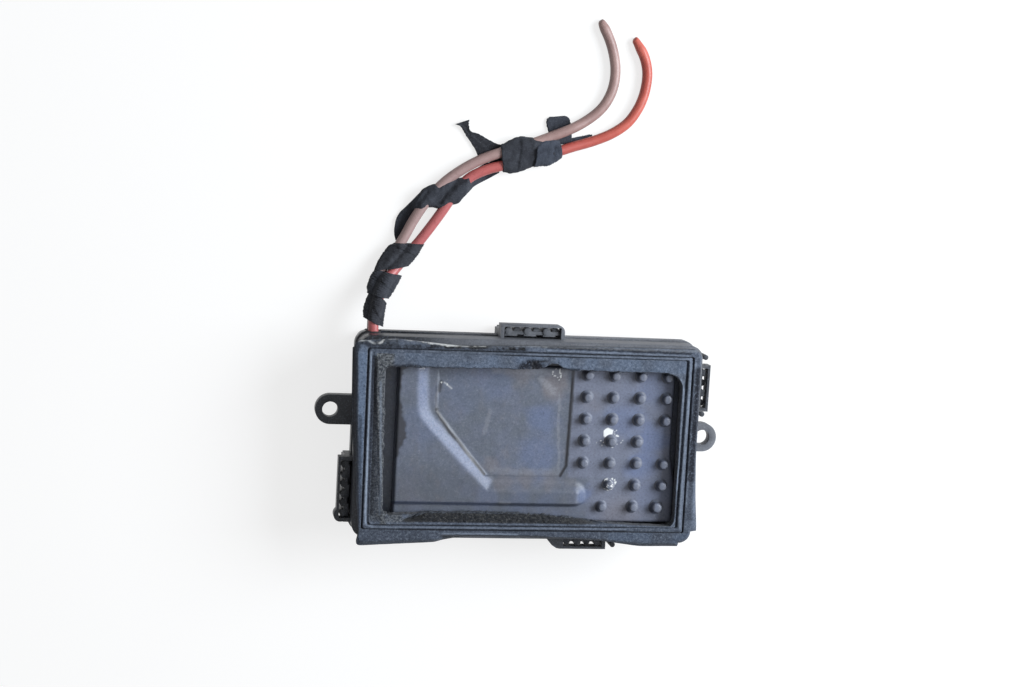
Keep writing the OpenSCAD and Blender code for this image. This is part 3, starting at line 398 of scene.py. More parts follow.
def fineMetal(name, base, dull, rough, brushed=(1, 1, 1)):
    f = Finish(name, Metallic=1.0)
    streak = f.noise(0.5, 4, 0.7, f.spot(stretch=brushed))
    cloud = f.noise(3, 3, 0.6)
    color = f.mix(cloud.step(0.4, 0.75) * 0.7, base, dull)
    return f.done(color, streak * 0.25 + (rough - 0.1), f.bump(streak, 0.02, 0.6))


def solderResist(name):
    f = Finish(name, Specular_IOR_Level=0.5, Coat_Weight=0.3)
    weave = f.node("TexWave", {"wave_type": "BANDS"}, {"Vector": f.spot(), "Scale": 1.4, "Distortion": 0.6})
    tracks = f.flakes(5.5).step(0.28, 0.36)
    cloud = f.noise(6, 3)
    color = f.mix(cloud.step(0.3, 0.7), tone(28, 84, 50), tone(36, 104, 62))
    color = f.mix(tracks * 0.35, color, tone(70, 132, 78))
    return f.done(color, 0.28 + cloud * 0.2, f.bump(weave * 0.3 + tracks, 0.03, 0.6))


def printedSleeve(name, base, band):
    f = Finish(name, Specular_IOR_Level=0.5)
    cloud = f.noise(5, 3)
    shrink = f.noise(1.2, 3, 0.6, f.spot(stretch=(0.2, 1, 1)))
    color = f.mix(cloud.step(0.35, 0.65), base, band)
    return f.done(color, 0.25 + shrink * 0.2, f.bump(shrink, 0.05, 0.6))


def softPad(name, base, tint):
    f = Finish(name, Specular_IOR_Level=0.4)
    weave = f.node("TexChecker", None, {"Vector": f.spot(), "Scale": 1.1}, 1)
    cloud = f.noise(2.5, 3)
    color = f.mix(cloud.step(0.35, 0.7), base, tint)
    return f.done(color, 0.55 + cloud * 0.2, f.bump(weave, 0.03, 0.5))


def bakedLacquer(name, base, tint, rough):
    f = Finish(name, Specular_IOR_Level=0.5)
    cloud = f.noise(3.5, 4, 0.6)
    pit = f.noise(0.4, 3, 0.7)
    color = f.mix(cloud.step(0.35, 0.7), base, tint)
    color = f.mix(pit.step(0.6, 0.8) * 0.35, color, tuple(c * 1.7 for c in tint))
    return f.done(color, rough + pit * 0.2, f.bump(pit, 0.05, 0.7))


finishes = {
    "housing_plastic": mouldedPlastic("housing plastic", tone(104, 107, 114), tone(128, 128, 130), 0.5),
    "cover_plastic": mouldedPlastic("cover plastic", tone(92, 95, 101), tone(118, 117, 116), 0.54),
    "gasket_foam": foamSkin("gasket foam"),
    "heat_sink_coat": castCoat("cast heat sink"),
    "screw_steel": fineMetal("plated steel", tone(188, 190, 192), tone(140, 140, 138), 0.32),
    "board_laminate": solderResist("board laminate"),
    "moulded_package": bakedLacquer("moulded package", tone(34, 34, 37), tone(44, 44, 46), 0.5),
    "thermal_pad": softPad("thermal pad", tone(150, 166, 186), tone(168, 182, 198)),
    "spring_steel": fineMetal("spring steel", tone(176, 178, 182), tone(138, 132, 124), 0.34, (0.1, 1, 1)),
    "can_sleeve": printedSleeve("can sleeve", tone(34, 50, 84), tone(28, 42, 72)),
    "ferrite": bakedLacquer("ferrite", tone(74, 77, 82), tone(88, 90, 94), 0.55),
    "enamelled_copper": bakedLacquer("enamelled copper", tone(164, 78, 42), tone(186, 96, 54), 0.25),
    "red_epoxy": bakedLacquer("dipped resin", tone(164, 46, 38), tone(176, 58, 46), 0.28),
    "shunt_alloy": fineMetal("shunt alloy", tone(190, 158, 112), tone(146, 118, 82), 0.38, (0.1, 1, 1)),
    "chip_ceramic": bakedLacquer("fired ceramic", tone(128, 112, 92), tone(146, 130, 108), 0.6),
    "tinned_brass": fineMetal("tinned brass", tone(206, 196, 164), tone(164, 148, 112), 0.3, (1, 0.15, 1)),
    "socket_plastic": mouldedPlastic("socket plastic", tone(62, 65, 70), tone(94, 94, 96), 0.42),
    "grommet_rubber": bakedLacquer("grommet rubber", tone(34, 35, 38), tone(46, 47, 50), 0.7),
    "red_insulation": wireSkin("red insulation", tone(180, 80, 68), tone(198, 98, 84), tone(140, 62, 62),
                               tone(178, 98, 102)),
    "brown_insulation": wireSkin("brown insulation", tone(152, 122, 118), tone(172, 142, 137),
                                 tone(116, 92, 88), tone(164, 138, 136)),
    "cloth_tape": fleeceTape("fleece tape"),
    "cut_copper": cutCopper("cut copper"),
}
slotOf = {s["node"]: s["material_slot"] for s in frame["record"]["subparts"]}
for name, node in nodes.items():
    node.data.materials.clear()
    node.data.materials.append(finishes[slotOf[name]])
    node["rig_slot"] = slotOf[name]
print("finishes:", len(finishes))

# wires: the same points as in the part's source, outwards from the wall, in mm
wires = {
    "exitX": -55.8, "wallY": 35.5, "innerY": 31.8, "redY": 13.8, "brownY": 24.8, "redZ": 14.4, "brownZ": 10.3,
    "diameter": 3.7, "sides": 20, "steps": 8,
    "rounding": np.array([0.75, 0.55, 0.38, 0.24, 0.12, 0.04, 0]),
}
wrapZ, lieZ = 2.95, 1.9
redRun = [
    (0, 3.5, 14.2), (0.6, 7, 12.7), (1.6, 10.7, 10.7), (3, 14.6, 8.4), (5.2, 18.2, 6.1), (8.4, 22, 4.1),
    (12.4, 26.9, wrapZ), (16.4, 31.9, wrapZ), (20.4, 37.5, wrapZ), (24.4, 43.5, wrapZ), (28.4, 49.9, wrapZ),
    (33.2, 55.1, wrapZ), (39.2, 58.3, wrapZ), (46.2, 60.4, wrapZ), (54.4, 62.7, wrapZ), (63.4, 65.6, wrapZ),
    (70.8, 68.2, 2.3), (77.8, 70.5, lieZ), (84.5, 73.5, lieZ), (90, 77.5, lieZ), (93.5, 82.5, lieZ),
    (95.5, 87.5, lieZ), (96.4, 92.9, lieZ), (96.2, 97.5, lieZ), (94.8, 101.9, lieZ), (92.7, 105.3, lieZ),
    (90.6, 107.8, lieZ),
]
brownRun = [
    (0, 3.5, 10.1), (0, 7, 8.7), (0.2, 10.7, 6.9), (0.7, 14.9, 4.9), (2, 18.9, 3.4), (4.4, 22.9, wrapZ + 0.3),
    (7.6, 27.5, wrapZ), (10.8, 33.1, wrapZ), (13.8, 39.1, wrapZ), (17.8, 45.5, wrapZ), (23.2, 52.1, wrapZ),
    (29.2, 57.1, wrapZ), (36.4, 61.5, wrapZ), (44.2, 64.7, wrapZ), (52.8, 67.5, wrapZ), (61.2, 70.9, wrapZ),
    (69.8, 74.7, 2.8), (75.9, 78.4, 2), (80.2, 82.3, lieZ), (82.9, 86.7, lieZ), (84.3, 91.5, lieZ),
    (84.5, 96.6, lieZ), (83.6, 101.6, lieZ), (81.9, 106.5, lieZ), (79.6, 110.9, lieZ), (77.8, 113.5, lieZ),
]


def wholeRoute(run, startY, z, w):
    inside = [(w["exitX"], y, z) for y in (startY, w["innerY"], w["wallY"])]
    return np.array(inside + [(w["exitX"] + p[0], w["wallY"] + p[1], p[2]) for p in run])


redRoute = wholeRoute(redRun, wires["redY"], wires["redZ"], wires)
brownRoute = wholeRoute(brownRun, wires["brownY"], wires["brownZ"], wires)


def sidesOf(path):  # t = dP/ds, side = t x z, up = side x t
    t = unit(np.gradient(path, axis=0))
    side = unit(np.cross(t, [0, 0, 1]))
    return t, side, np.cross(side, t)


def wireGrid(route, w, tip, lean):
    # P(s, a) = C(s) + r(s) (side cos a + up sin a): r narrows by 0.3 of itself over the last tip mm, and
    # by sqrt(1 - q^2) over the last mm, q from 0 to 0.86; the narrow part lies low and leans to one side
    fine = along(route, np.linspace(0, len(route) - 1, (len(route) - 1) * 24 + 1))
    run = np.concatenate([[0], np.cumsum(np.linalg.norm(np.diff(fine, axis=0), axis=1))])
    even = np.linspace(0, run[-1] - 1, (len(route) - 1) * w["steps"])
    stops = np.concatenate([even, run[-1] - w["rounding"]])
    path = np.stack([np.interp(stops, run, fine[:, k]) for k in range(3)], 1)
    t, side, up = sidesOf(path)
    k = fade((stops - (run[-1] - tip)) / tip)
    q = 0.86 * np.clip(stops - (run[-1] - 1), 0, 1)
    r = w["diameter"] / 2 * (1 - 0.3 * k) * np.sqrt(1 - q * q)
    a = np.linspace(0, 2 * np.pi, w["sides"], endpoint=False)
    middle = path + side * (lean * (w["diameter"] / 2 - r))[:, None] * k[:, None]
    middle[:, 2] -= (w["diameter"] / 2 - r) * 0.7
    ring = side[:, None] * np.cos(a)[:, None] + up[:, None] * np.sin(a)[:, None]
    grid = middle[:, None] + ring * r[:, None, None]
    core = middle[-1] + ring[-1] * (r[-1] * 0.75) - t[-1] * 0.1
    return np.concatenate([grid, [core, core - t[-1] * 0.3]]), path


def makeWire(name, nodeName, slotName, route, w, tip, lean):
    grid, path = wireGrid(route, w, tip, lean)
    faces = closedGrid(grid)
    metal = np.zeros(len(faces), int)
    metal[-1] = 1
    obj = makePiece(name, grid, faces, [finishes[slotName], finishes["cut_copper"]], slotName, metal)
    turnOut(obj)
    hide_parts(nodeName)
    return obj, path


redWire, redPath = makeWire("red_supply_wire", "red_wire", "red_insulation", redRoute, wires,
                            tip=5.5, lean=0.6)
brownWire, brownPath = makeWire("brown_supply_wire", "brown_wire", "brown_insulation", brownRoute, wires,
                                tip=3.5, lean=0.4)


# tape: each length is a cloth between two edges, as seen from above, drawn tight over the wires or lying flat
tape = {"thick": 0.45, "span": 1.35, "wrinkle": 0.2, "lap": 0.4, "low": 0.05, "flat": 0.55}


def overWires(x, y, thick):
    # m is the height of the wires' middle near a point; high and deep are the faces of a cloth on
    # them: m_w +- q sqrt(R^2 - d^2), with d the distance to a wire and q = 1 / |horizontal part of t|
    faces = []
    for path in (redPath, brownPath):
        t = unit(np.gradient(path, axis=0))
        far = (x[..., None] - path[:, 0]) ** 2 + (y[..., None] - path[:, 1]) ** 2
        k = far.argmin(-1)
        far = far.min(-1)
        reach = np.sqrt(np.clip((wires["diameter"] / 2 + thick) ** 2 - far, 0, None))
        faces.append((path[k, 2], reach / np.hypot(t[k, 0], t[k, 1]), 1 / (np.sqrt(far) + 1)))
    (za, ra, wa), (zb, rb, wb) = faces
    return (za * wa + zb * wb) / (wa + wb), np.maximum(za + ra, zb + rb), np.minimum(za - ra, zb - rb)


def clothGrid(left, right, p, seed, holds=(1, 1), lows=(0.3, 0.3), thick=0.0, laps=(2.2, 0.6),
              rows=64, cols=27):
    # P(u, v) = L(u) (1 - v) + R(u) v; where the cloth holds the wires its faces are
    # m + (h - m) e(v), e = (1 - |2 v - 1|^3)^(1/2), and elsewhere it lies flat on the floor
    u, v = np.linspace(0, 1, rows), np.linspace(0, 1, cols)[None, :]
    a, b = (along(side, u * (len(side) - 1)) for side in (left, right))
    shake = 0.14 * np.stack([lumps(u * 30, u * 0 + k, 1.1, seed + k) for k in range(4)], 1)
    a, b = a + shake[:, :2], b + shake[:, 2:]
    flat = a[:, None] * (1 - v[..., None]) + b[:, None] * v[..., None]
    x, y = flat[..., 0], flat[..., 1]
    hold, low = (np.interp(u, np.linspace(0, 1, len(n)), n)[:, None] for n in (holds, lows))
    middle, high, deep = overWires(x, y, p["thick"] + thick)
    e = np.sqrt(np.clip(1 - np.abs(2 * v - 1) ** 3, 0, 1))
    saw = u[:, None] * laps[0] + v * laps[1] + 0.05 * lumps(x, y, 2.5, seed)
    saw = saw - np.floor(saw)
    crease = p["lap"] * (1 - fade(saw / 0.9)) * fade(saw / 0.06)
    crease = crease + p["wrinkle"] * (lumps(x + y, y - x, 2.4, seed + 5) + 0.6 * lumps(x, y, 0.9, seed + 6))
    top = middle + (softMax(high, middle + p["span"] + thick, 0.6) - middle) * e + crease * e
    bottom = middle - (softMax(middle - deep, p["span"], 0.6)) * e
    top = hold * top + (1 - hold) * (low + p["flat"] + 0.7 * crease)
    bottom = np.maximum(hold * bottom + (1 - hold) * low, p["low"])
    top = np.maximum(top, bottom + 0.15)
    return np.concatenate([np.stack([x, y, top], -1), np.stack([x, y, bottom], -1)[:, ::-1]], axis=1)


def makeTape(name, nodeName, parts):  # parts: a grid and how pale it is
    points, faces, shades, start = [], [], [], 0
    for grid, pale in parts:
        faces += [[c + start for c in f] for f in closedGrid(grid)]
        points.append(grid.reshape(-1, 3))
        shades.append(np.full(len(points[-1]), pale))
        start += len(points[-1])
    obj = makePiece(name, np.concatenate(points), faces, finishes["cloth_tape"], "cloth_tape",
                    values={"pale": np.concatenate(shades)})
    turnOut(obj)
    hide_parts(nodeName)
    return obj


lowerTape = makeTape("lower_tape", "tape_lower", [
    (clothGrid(
        [(-59.3, 40.2), (-59.3, 43.3), (-58.3, 46.3), (-56.8, 49.1), (-55, 50.3)],
        [(-52.2, 37), (-51.9, 40.1), (-51.5, 42.8), (-51, 45.1), (-52.1, 46.1)],
        tape, 11, laps=(1.6, 0.9)), 0),
    (clothGrid(
        [(-57.9, 48.4), (-57.9, 50.7), (-57.2, 53.2), (-56.1, 55.3), (-55.1, 56.7)],
        [(-50.1, 46.8), (-49.1, 48), (-47.8, 50), (-46.3, 52.4), (-45.3, 54.7)],
        tape, 12, thick=0.3, laps=(1.4, 0.5)), 0.1),
    (clothGrid(
        [(-55.6, 56.2), (-54.1, 59.7), (-52.2, 63), (-50.3, 65.2), (-48.6, 66.2)],
        [(-43, 58.2), (-41.8, 59.6), (-40.1, 61.8), (-38.8, 64.1), (-37.6, 66.3)],
        tape, 13, thick=0.1, laps=(1.3, 0.4)), 0),
])
middleTape = makeTape("middle_tape", "tape_middle", [
    (clothGrid(
        [(-47.9, 66.9), (-48.4, 70.4), (-48.2, 74), (-47, 76.9), (-44.9, 79), (-42.5, 81.8),
         (-40.5, 84.3), (-38.4, 86.4), (-36, 87.6), (-33.1, 87.9), (-30.7, 89.1), (-27.5, 90.1),
         (-23.5, 91.2), (-20.4, 93.9), (-16.2, 96.2), (-11.9, 97.5)],
        [(-46.1, 67.2), (-44.8, 70.2), (-43.5, 72.8), (-42.2, 75.4), (-41.4, 77.5), (-40.5, 77.9),
         (-39.5, 78), (-37.4, 79.1), (-35.2, 79.4), (-32.7, 79), (-30.2, 80.4), (-26.3, 81.4),
         (-23.5, 84.4), (-20.8, 87.4), (-16.2, 90.2), (-11.6, 92.9)],
        tape, 14, (0, 0, 0, 0, 0.1, 0.7, 1, 1, 1, 1, 1, 1, 1, 0.3, 0, 0), (0.4, 0.4, 0.3, 0.3, 0.3, 0.3),
        laps=(2.4, 0.8), rows=110), 0.15),
])
knotTape = makeTape("knot_tape", "tape_knot", [
    (clothGrid(
        [(-12.2, 102.8), (-10.1, 104), (-8, 105.2), (-5.5, 106.2), (-2.2, 106.2), (1.1, 106),
         (4.1, 105.8), (6.7, 105.6), (8.9, 105.4)],
        [(-10.6, 93.3), (-8, 92.9), (-5.5, 93.4), (-2.6, 94.4), (-0.1, 95.6), (2.4, 96.3),
         (5, 96.2), (7.5, 97.4), (10.4, 99.4)],
        tape, 15, laps=(2.3, 0.5)), 0.1),
    (clothGrid(
        [(1.2, 104.6), (4.1, 105.7), (6.3, 106), (8.1, 105.9), (9.3, 105.4)],
        [(0.6, 95.6), (3.2, 96), (5.7, 96.3), (8.2, 97.6), (10.6, 99.4)],
        tape, 16, thick=0.35, laps=(0.4, 0.2), rows=44), 0.6),
    (clothGrid(
        [(13, 106.3), (17.4, 107.4), (20.3, 108.2), (21.8, 108.3)],
        [(13.1, 104.8), (16.7, 105.9), (19.7, 107), (21.8, 107.8)],
        tape, 17, (0, 0), (0.2, 0.5), rows=24, cols=9), 0.4),
])
tailTape = makeTape("loose_tail", "tape_tail", [
    (clothGrid(
        [(-23.5, 111.1), (-23.6, 109.3), (-22.6, 107.2), (-20, 106.5), (-17, 105), (-14.4, 103.8),
         (-11.8, 103), (-9.3, 103.7)],
        [(-28.5, 109.4), (-26.3, 108.5), (-25.1, 106.7), (-23.4, 104.3), (-21.4, 101.6),
         (-18.4, 97.1), (-14.8, 96.6), (-9.6, 96.5)],
        tape, 18, (0, 0), (0.9, 0.6, 0.5, 0.4, 0.3, 0.2), laps=(0.7, 1.3), rows=80), 0),
])
loopTape = makeTape("folded_loop", "tape_loop", [
    (clothGrid(
        [(7.2, 103.8), (5.2, 109.8), (4.8, 112.5), (5.5, 113.6), (6.4, 113.9)],
        [(14.5, 104.6), (14, 109.6), (13.5, 112.4), (12.5, 114.1), (11.3, 114.5)],
        {**tape, "flat": 0.75}, 19, (0, 0), (0.1, 0.15), laps=(0.6, 0.2), rows=50), 0.25),
])

for wire, path, height, rides in (
    (redWire, redPath, wires["redZ"], [lowerTape, middleTape, knotTape, tailTape, loopTape]),
    (brownWire, brownPath, wires["brownZ"], []),
):
    height * mm
    (path * mm).tolist()


# heat sink: the block's edges are those of the part's source, apart from its lower right corner
sink = {
    "x0": -47.4, "x1": 52.8, "y0": -29.6, "y1": 26.4, "top": 24.0, "base": 20.5, "ridge": 2.0, "slope": 4.75,
    "band": 11.1, "bendY": 9.7, "channelY0": -24.1, "channelY1": -14.6, "channelX": 17.5, "lowSlope": 1.5,
    "armSlope": 4.1, "pocket": 0.5, "pocketX": 14.6, "cell": 0.28, "rim": 1.1,
    # how far the block widens towards its lower right corner, where that starts and over what length
    "widen": 2.0, "widenX": 50.5, "widenAlongX": 2.3, "widenY": -3, "widenAlongY": 14,
    # pins: size, the top right one, pitches, places left empty, and the last row with a factor for the width
    "pinD": 3.4, "pinH": 3.0, "pinX": 49.6, "pinY": 23.8, "pitchX": 9.75, "pitchY": 7.9, "cols": 4, "rows": 6,
    "noPins": ((3, 3), (0, 5)), "lastPins": [(48.2, -23.6, 1.12), (39.5, -23.6, 1.0), (27.9, -23.6, 0.95)],
    "chippedPin": 10,
    # dark lines and blots, mostly painted shade along creases, edges and steps; small marks; then bright
    # lines and patches, mostly painted highlights: width, strength, points
    # painted shade along the foot of the slanting slope, under the foam's top edge, along the pocket's edges
    # and the low step at the bottom; a broad darker area over the arm; two dark marks by the upright slope
    "shadeAndMarks": [
        (0.75, 1.0, [(-33.2, 10), (-32.8, 8.7), (-28.2, 2), (-25.2, -0.9), (-22.5, -4.3), (-18.3, -9.2),
                     (-15.2, -12.8)]),
        (0.9, 0.95, [(-46.5, 26), (-40, 25.8), (-31, 25.6), (-23, 25.9)]),
        (0.7, 0.6, [(-23, 26), (-8, 26.2)]),
        (0.7, 0.6, [(3, 26.2), (16, 25.8), (44, 25.6)]),
        (0.6, 0.4, [(-33.4, 18), (-33.6, 14), (-33.1, 10)]), (0.9, 0.8, [(-32.8, 16.6), (-32.2, 19.6)]),
        (0.6, 0.45, [(-14.6, -13.3), (12, -13.2)]), (0.5, 0.25, [(-12.6, -16.4), (8, -16.2)]),
        (0.7, 0.85, [(14.9, 26), (15, 14.5), (14.7, 3.7), (14.3, -9.2), (12.4, -13)]),
        (0.8, 0.1, [(-47.5, -24.4), (-27, -24), (-9, -23.9)]),
        (0.9, 0.4, [(-9, -23.9), (15, -23.8), (19, -22.9)]),
        (9, 0.26, [(-42, -18), (-16, -20), (15, -20)]),
    ],
    "scratches": [
        (0.3, 0.5, [(-31, 19.6), (-29.6, 18.6), (-28.2, 17.4)]), (0.3, 0.4, [(-40, 24.4), (-38.6, 24.6)]),
    ],
    # painted highlights along the slopes, the pocket and the low step, and a patch of pale dust near the top
    "lights": [
        (0.6, 0.32, [(10.4, 17), (10.9, 3.7), (11.8, -10.6)]),
        (1.5, 0.3, [(-12, -11.6), (0, -12), (11.4, -11.6)]),
        (0.6, 0.35, [(-32.6, 17), (-34, 14), (-33.6, 9.6)]),
        (1.5, 0.35, [(-13.5, 24.6), (2, 24.4), (12, 24.2)]),
        (1.6, 0.5, [(3.4, 22), (8, 17.6)]), (0.9, 0.3, [(-14, 10), (-15.8, 2)]),
        (0.8, 0.5, [(-9, -22.8), (-6, -22.9)]),
        (0.5, 0.4, [(-32, 6.6), (-27.2, 1.4)]), (0.5, 0.45, [(-20, -7.4), (-15.4, -12.4)]),
    ],
    # tinted places: x, y, radius, strength; the blue one at the arm's round end, (21, -19), is a painted
    # highlight
    "blues": [
        (5, 7, 6, 0.7), (4, -6, 9, 0.6), (-14, 20.5, 8, 0.35), (-24, 18, 9, 0.25), (-40, 4, 7, 0.3),
        (42, -8, 6, 0.8), (46, 1, 6, 0.9), (36, 8, 8, 0.6), (44, 20, 7, 0.5), (21, -19, 3.2, 0.9),
        (46, -18, 6, 0.3), (-2, -22, 5, 0.4), (8, -22, 5, 0.4), (-14, -21, 5, 0.3),
    ],
    "browns": [
        (8, 20, 5, 0.8), (-4, 24, 5, 0.5), (0, -14.6, 3.4, 0.55), (-8, -15.6, 3.6, 0.5), (-13, -9, 3, 0.5),
        (22, 14, 4, 0.3), (34, -27, 9, 0.5), (-42, -20, 6, 0.2), (8, -15.4, 3.4, 0.5),
    ],
    # where the coat is chipped: one outline, then places with x, y, radius and how fine the bits are
    "chipOutline": [(27.2, 1.9), (28.7, 0.9), (30.6, 1.9), (30.7, 4.1), (28.8, 4.9), (27.3, 3.8)],
    "chips": [
        (31.3, 3.4, 1.5, 0.6), (32.6, 0.6, 2.0, 0.72), (26.4, -0.6, 1.6, 0.74), (31.4, -1.8, 1.2, 0.75),
        (31.6, -14.6, 1.9, 0.62), (48.9, -26.8, 1.2, 0.8), (9.5, 23.8, 2.6, 0.7), (-39.6, 24.4, 1.2, 0.7),
        (-30.6, 19.4, 1.6, 0.8),
    ],
    # the dark left edge: y, and the x that it reaches to
    "darkLeftEdge": ([-24, -9, -6.4, -2.8, 1.5, 4.3, 7.8, 13.1, 21.9, 24, 26],
                  [-48.2, -47.6, -46.6, -45, -43.8, -44.2, -45.6, -46.6, -46.6, -45.4, -42]),
}


def sinkHeight(x, y, k):
    # h = ridge s(d), where d is how far a point lies up the slope of the raised part: the larger of the
    # band, the slanting edge and the arm with its round end, cut off below by a short step
    bandX = k["x0"] + k["band"]
    slant = ((bandX - x) + (k["bendY"] - y)) / math.sqrt(2)
    plateau = softMax(bandX - x, slant, 2.2) / k["slope"]
    middle = (k["channelY0"] + k["channelY1"]) / 2
    half = (k["channelY1"] - k["channelY0"]) / 2
    past = np.maximum(x - k["channelX"], 0)
    arm = (half - np.hypot(past, np.maximum(y - middle, 0))) / k["armSlope"]
    low = (y - k["channelY0"] - 0.1 * past ** 2) / k["lowSlope"]
    inside = np.minimum(softMax(plateau, arm, 0.12), low)
    rise = k["ridge"] * (0.35 * fade(inside) + 0.65 * fade((inside + 0.12) / 1.24))
    # the slopes' faces that take a painted reflection of the key lamp
    slopeReflection = fade((inside + 0.1) / 0.45) * fade((1.15 - inside) / 0.45) * fade((plateau - arm) / 0.3 + 0.5)
    lines = [
        (x - (bandX + 3.2)) / 0.8, ((x - bandX - 3.2) - 0.82 * (9.4 - y)) / 1.8, (23 - y) / 4,
        (k["pocketX"] + 0.01 * y - x) / 0.3, (y + 13.3) / 0.8,
        (k["pocketX"] - x + 0.55 * (y + 9)) / 0.35 + 0.2,
    ]
    sunk = k["pocket"] * fade(np.minimum.reduce(lines) + 0.5)
    wave = 0.06 * lumps(x, y, 7, 3) + 0.04 * lumps(x, y, 1.9, 4)
    return k["top"] + rise - sunk + wave, slopeReflection


def placePins(k):  # x, y and a factor for the width
    places = [(col, row) for col in range(k["cols"]) for row in range(k["rows"])]
    pins = [(k["pinX"] - (k["cols"] - 1 - col) * k["pitchX"], k["pinY"] - row * k["pitchY"], 1.0)
            for col, row in places if (col, row) not in k["noPins"]]
    return pins + k["lastPins"]


def lathe(profile, at, sides, wobble, seed):  # P(a, k) = at + (r_k cos a, r_k sin a, z_k)
    a = np.linspace(0, 2 * np.pi, sides, endpoint=False)
    r = np.array(profile)[:, 0, None] * (1 + wobble * np.sin(a * 2 + seed))
    z = np.array(profile)[:, 1, None] + 0 * r
    return np.stack([at[0] + r * np.cos(a), at[1] + r * np.sin(a), at[2] + z], -1)


def makeHeatSink(k):
    pins = placePins(k)
    nx = int((k["x1"] - k["x0"]) / k["cell"])
    ny = int((k["y1"] - k["y0"]) / k["cell"])
    x, y = np.meshgrid(np.linspace(k["x0"], k["x1"], nx), np.linspace(k["y0"], k["y1"], ny), indexing="ij")
    z, slopeReflection = sinkHeight(x, y, k)
    rim = np.minimum.reduce([x - k["x0"], k["x1"] - x, y - k["y0"], k["y1"] - y])
    # rounded rim: z falls by R (1 - sqrt(1 - (1 - d / R)^2)) at a distance d < R from the edge
    z = z - k["rim"] * (1 - np.sqrt(np.clip(1 - (1 - np.clip(rim / k["rim"], 0, 1)) ** 2, 0, 1)))
    darkening = painted(x, y, k["shadeAndMarks"], 0.12, 41)
    # darker along the block's left edge, with a ragged border
    edgeX = np.interp(y, *k["darkLeftEdge"]) + 0.5 * lumps(y, 0 * y, 2.0, 43) + 0.4 * lumps(x, y, 0.9, 47)
    darkening = np.maximum(darkening, 0.95 * fade((edgeX - x) / 1.2 + 0.5))
    for px, py, size in pins:  # painted shadow beside each pin, on the side away from the key lamp
        darkening = np.maximum(darkening, 0.7 * fade(1.4 - np.hypot(x - px + 0.75, y - py + 0.25) / 1.75))
    # painted shade along the block's rim, where it drops into the gap round it
    darkening = np.maximum(darkening, 0.5 * fade(1.2 - rim / 0.8))
    tints = {}
    for key in ("blues", "browns"):
        tints[key] = 0 * x
        for cx, cy, r, strength in k[key]:
            d = np.hypot(x - cx, y - cy) + 0.35 * r * lumps(x, y, r * 0.6, int(abs(cx) * 3 + 50))
            tints[key] = np.maximum(tints[key], strength * fade(1.4 - d / r))
    field = fade((x - k["pocketX"]) / 1.2) * fade((y + 14.2) / 1.5)
    field = field + fade((x - 21) / 3) * fade((-13 - y) / 1.5)
    # bright chips in the coat, and small marks
    chip = 0.8 * painted(x, y, k["scratches"], 0.1, 44)
    corners = k["chipOutline"]
    hole = np.full(x.shape, 9.0)
    for (ax, ay), (bx, by) in zip(corners, corners[1:] + corners[:1]):
        hole = np.minimum(hole, ((bx - ax) * (y - ay) - (by - ay) * (x - ax)) / math.hypot(bx - ax, by - ay))
    chip = np.maximum(chip, fade((hole + 0.2 * lumps(x, y, 0.8, 45)) / 0.3 + 0.5))
    for cx, cy, r, bits in k["chips"]:
        inside = r - np.hypot(x - cx, (y - cy) * 1.15) + 0.5 * lumps(x, y, 0.8, int(abs(cx) * 7))
        grit = lumps(x, y, 0.5, int(abs(cy) * 9) + 1) * 0.5 + 0.5
        chip = np.maximum(chip, fade(inside / 0.25) * fade((grit - bits) / 0.1))
    # the block widens towards its lower right corner, where it cuts about 1 mm into the housing
    grown = fade((x - k["widenX"]) / k["widenAlongX"])
    x = x + k["widen"] * grown * fade((k["widenY"] - y) / k["widenAlongY"])
    points = [np.stack([x, y, z], -1).reshape(-1, 3)]
    faces = cells(nx, ny).tolist()
    index = np.arange(nx * ny).reshape(nx, ny)
    border = np.concatenate([index[:, 0], index[-1, 1:], index[-2::-1, -1], index[0, -2:0:-1]])
    low = points[0][border].copy()
    low[:, 2] = k["base"] - 0.3
    start = nx * ny
    n = len(border)
    i = np.arange(n)
    faces += np.stack([border, start + i, start + (i + 1) % n, np.roll(border, -1)], -1).tolist()
    faces.append((start + i).tolist())
    points.append(low)
    start += n
    masks = {
        "slopeReflection": slopeReflection, "light": painted(x, y, k["lights"], 0.3, 46), "chip": chip, "darkening": darkening,
        "blue": tints["blues"], "brown": tints["browns"], "field": np.clip(field, 0, 1),
    }
    values = {key: [mask.ravel(), np.zeros(n)] for key, mask in masks.items()}
    r, h = k["pinD"] / 2, k["pinH"]
    profile = [
        (r + 0.9, -0.5), (r + 0.75, 0.0), (r + 0.3, 0.12), (r + 0.08, 0.45), (r, 1.0), (r - 0.1, h - 0.6),
        (r - 0.25, h - 0.25), (r - 0.55, h - 0.07), (r - 0.95, h - 0.01), (0.3, h),
    ]
    for number, (px, py, size) in enumerate(pins):
        at = (px, py, float(sinkHeight(np.array(px + 0.0), np.array(py + 0.0), k)[0]))
        grid = lathe([(a * size, b) for a, b in profile], at, 20, 0.02, number)
        faces += [[c + start for c in f] for f in closedGrid(grid)]
        points.append(grid.reshape(-1, 3))
        start += grid.shape[0] * grid.shape[1]
        tip = lumps(grid[..., 0], grid[..., 1] + grid[..., 2], 0.5, 8) * (number == k["chippedPin"])
        # on each pin, a painted highlight on the side towards the key lamp and painted shade on the side away
        # from it
        shades = {
            "chip": fade((tip - 0.5) / 0.1), "light": 0.25 * fade((grid[..., 0] - at[0] + 0.3) / 1.2),
            "darkening": 0.65 * fade((at[0] - 0.55 - grid[..., 0]) / 0.9), "field": 0 * tip + 0.6,
        }
        for key in values:
            values[key].append(shades.get(key, 0 * tip).ravel())
    return np.concatenate(points), faces, {key: np.concatenate(v) for key, v in values.items()}


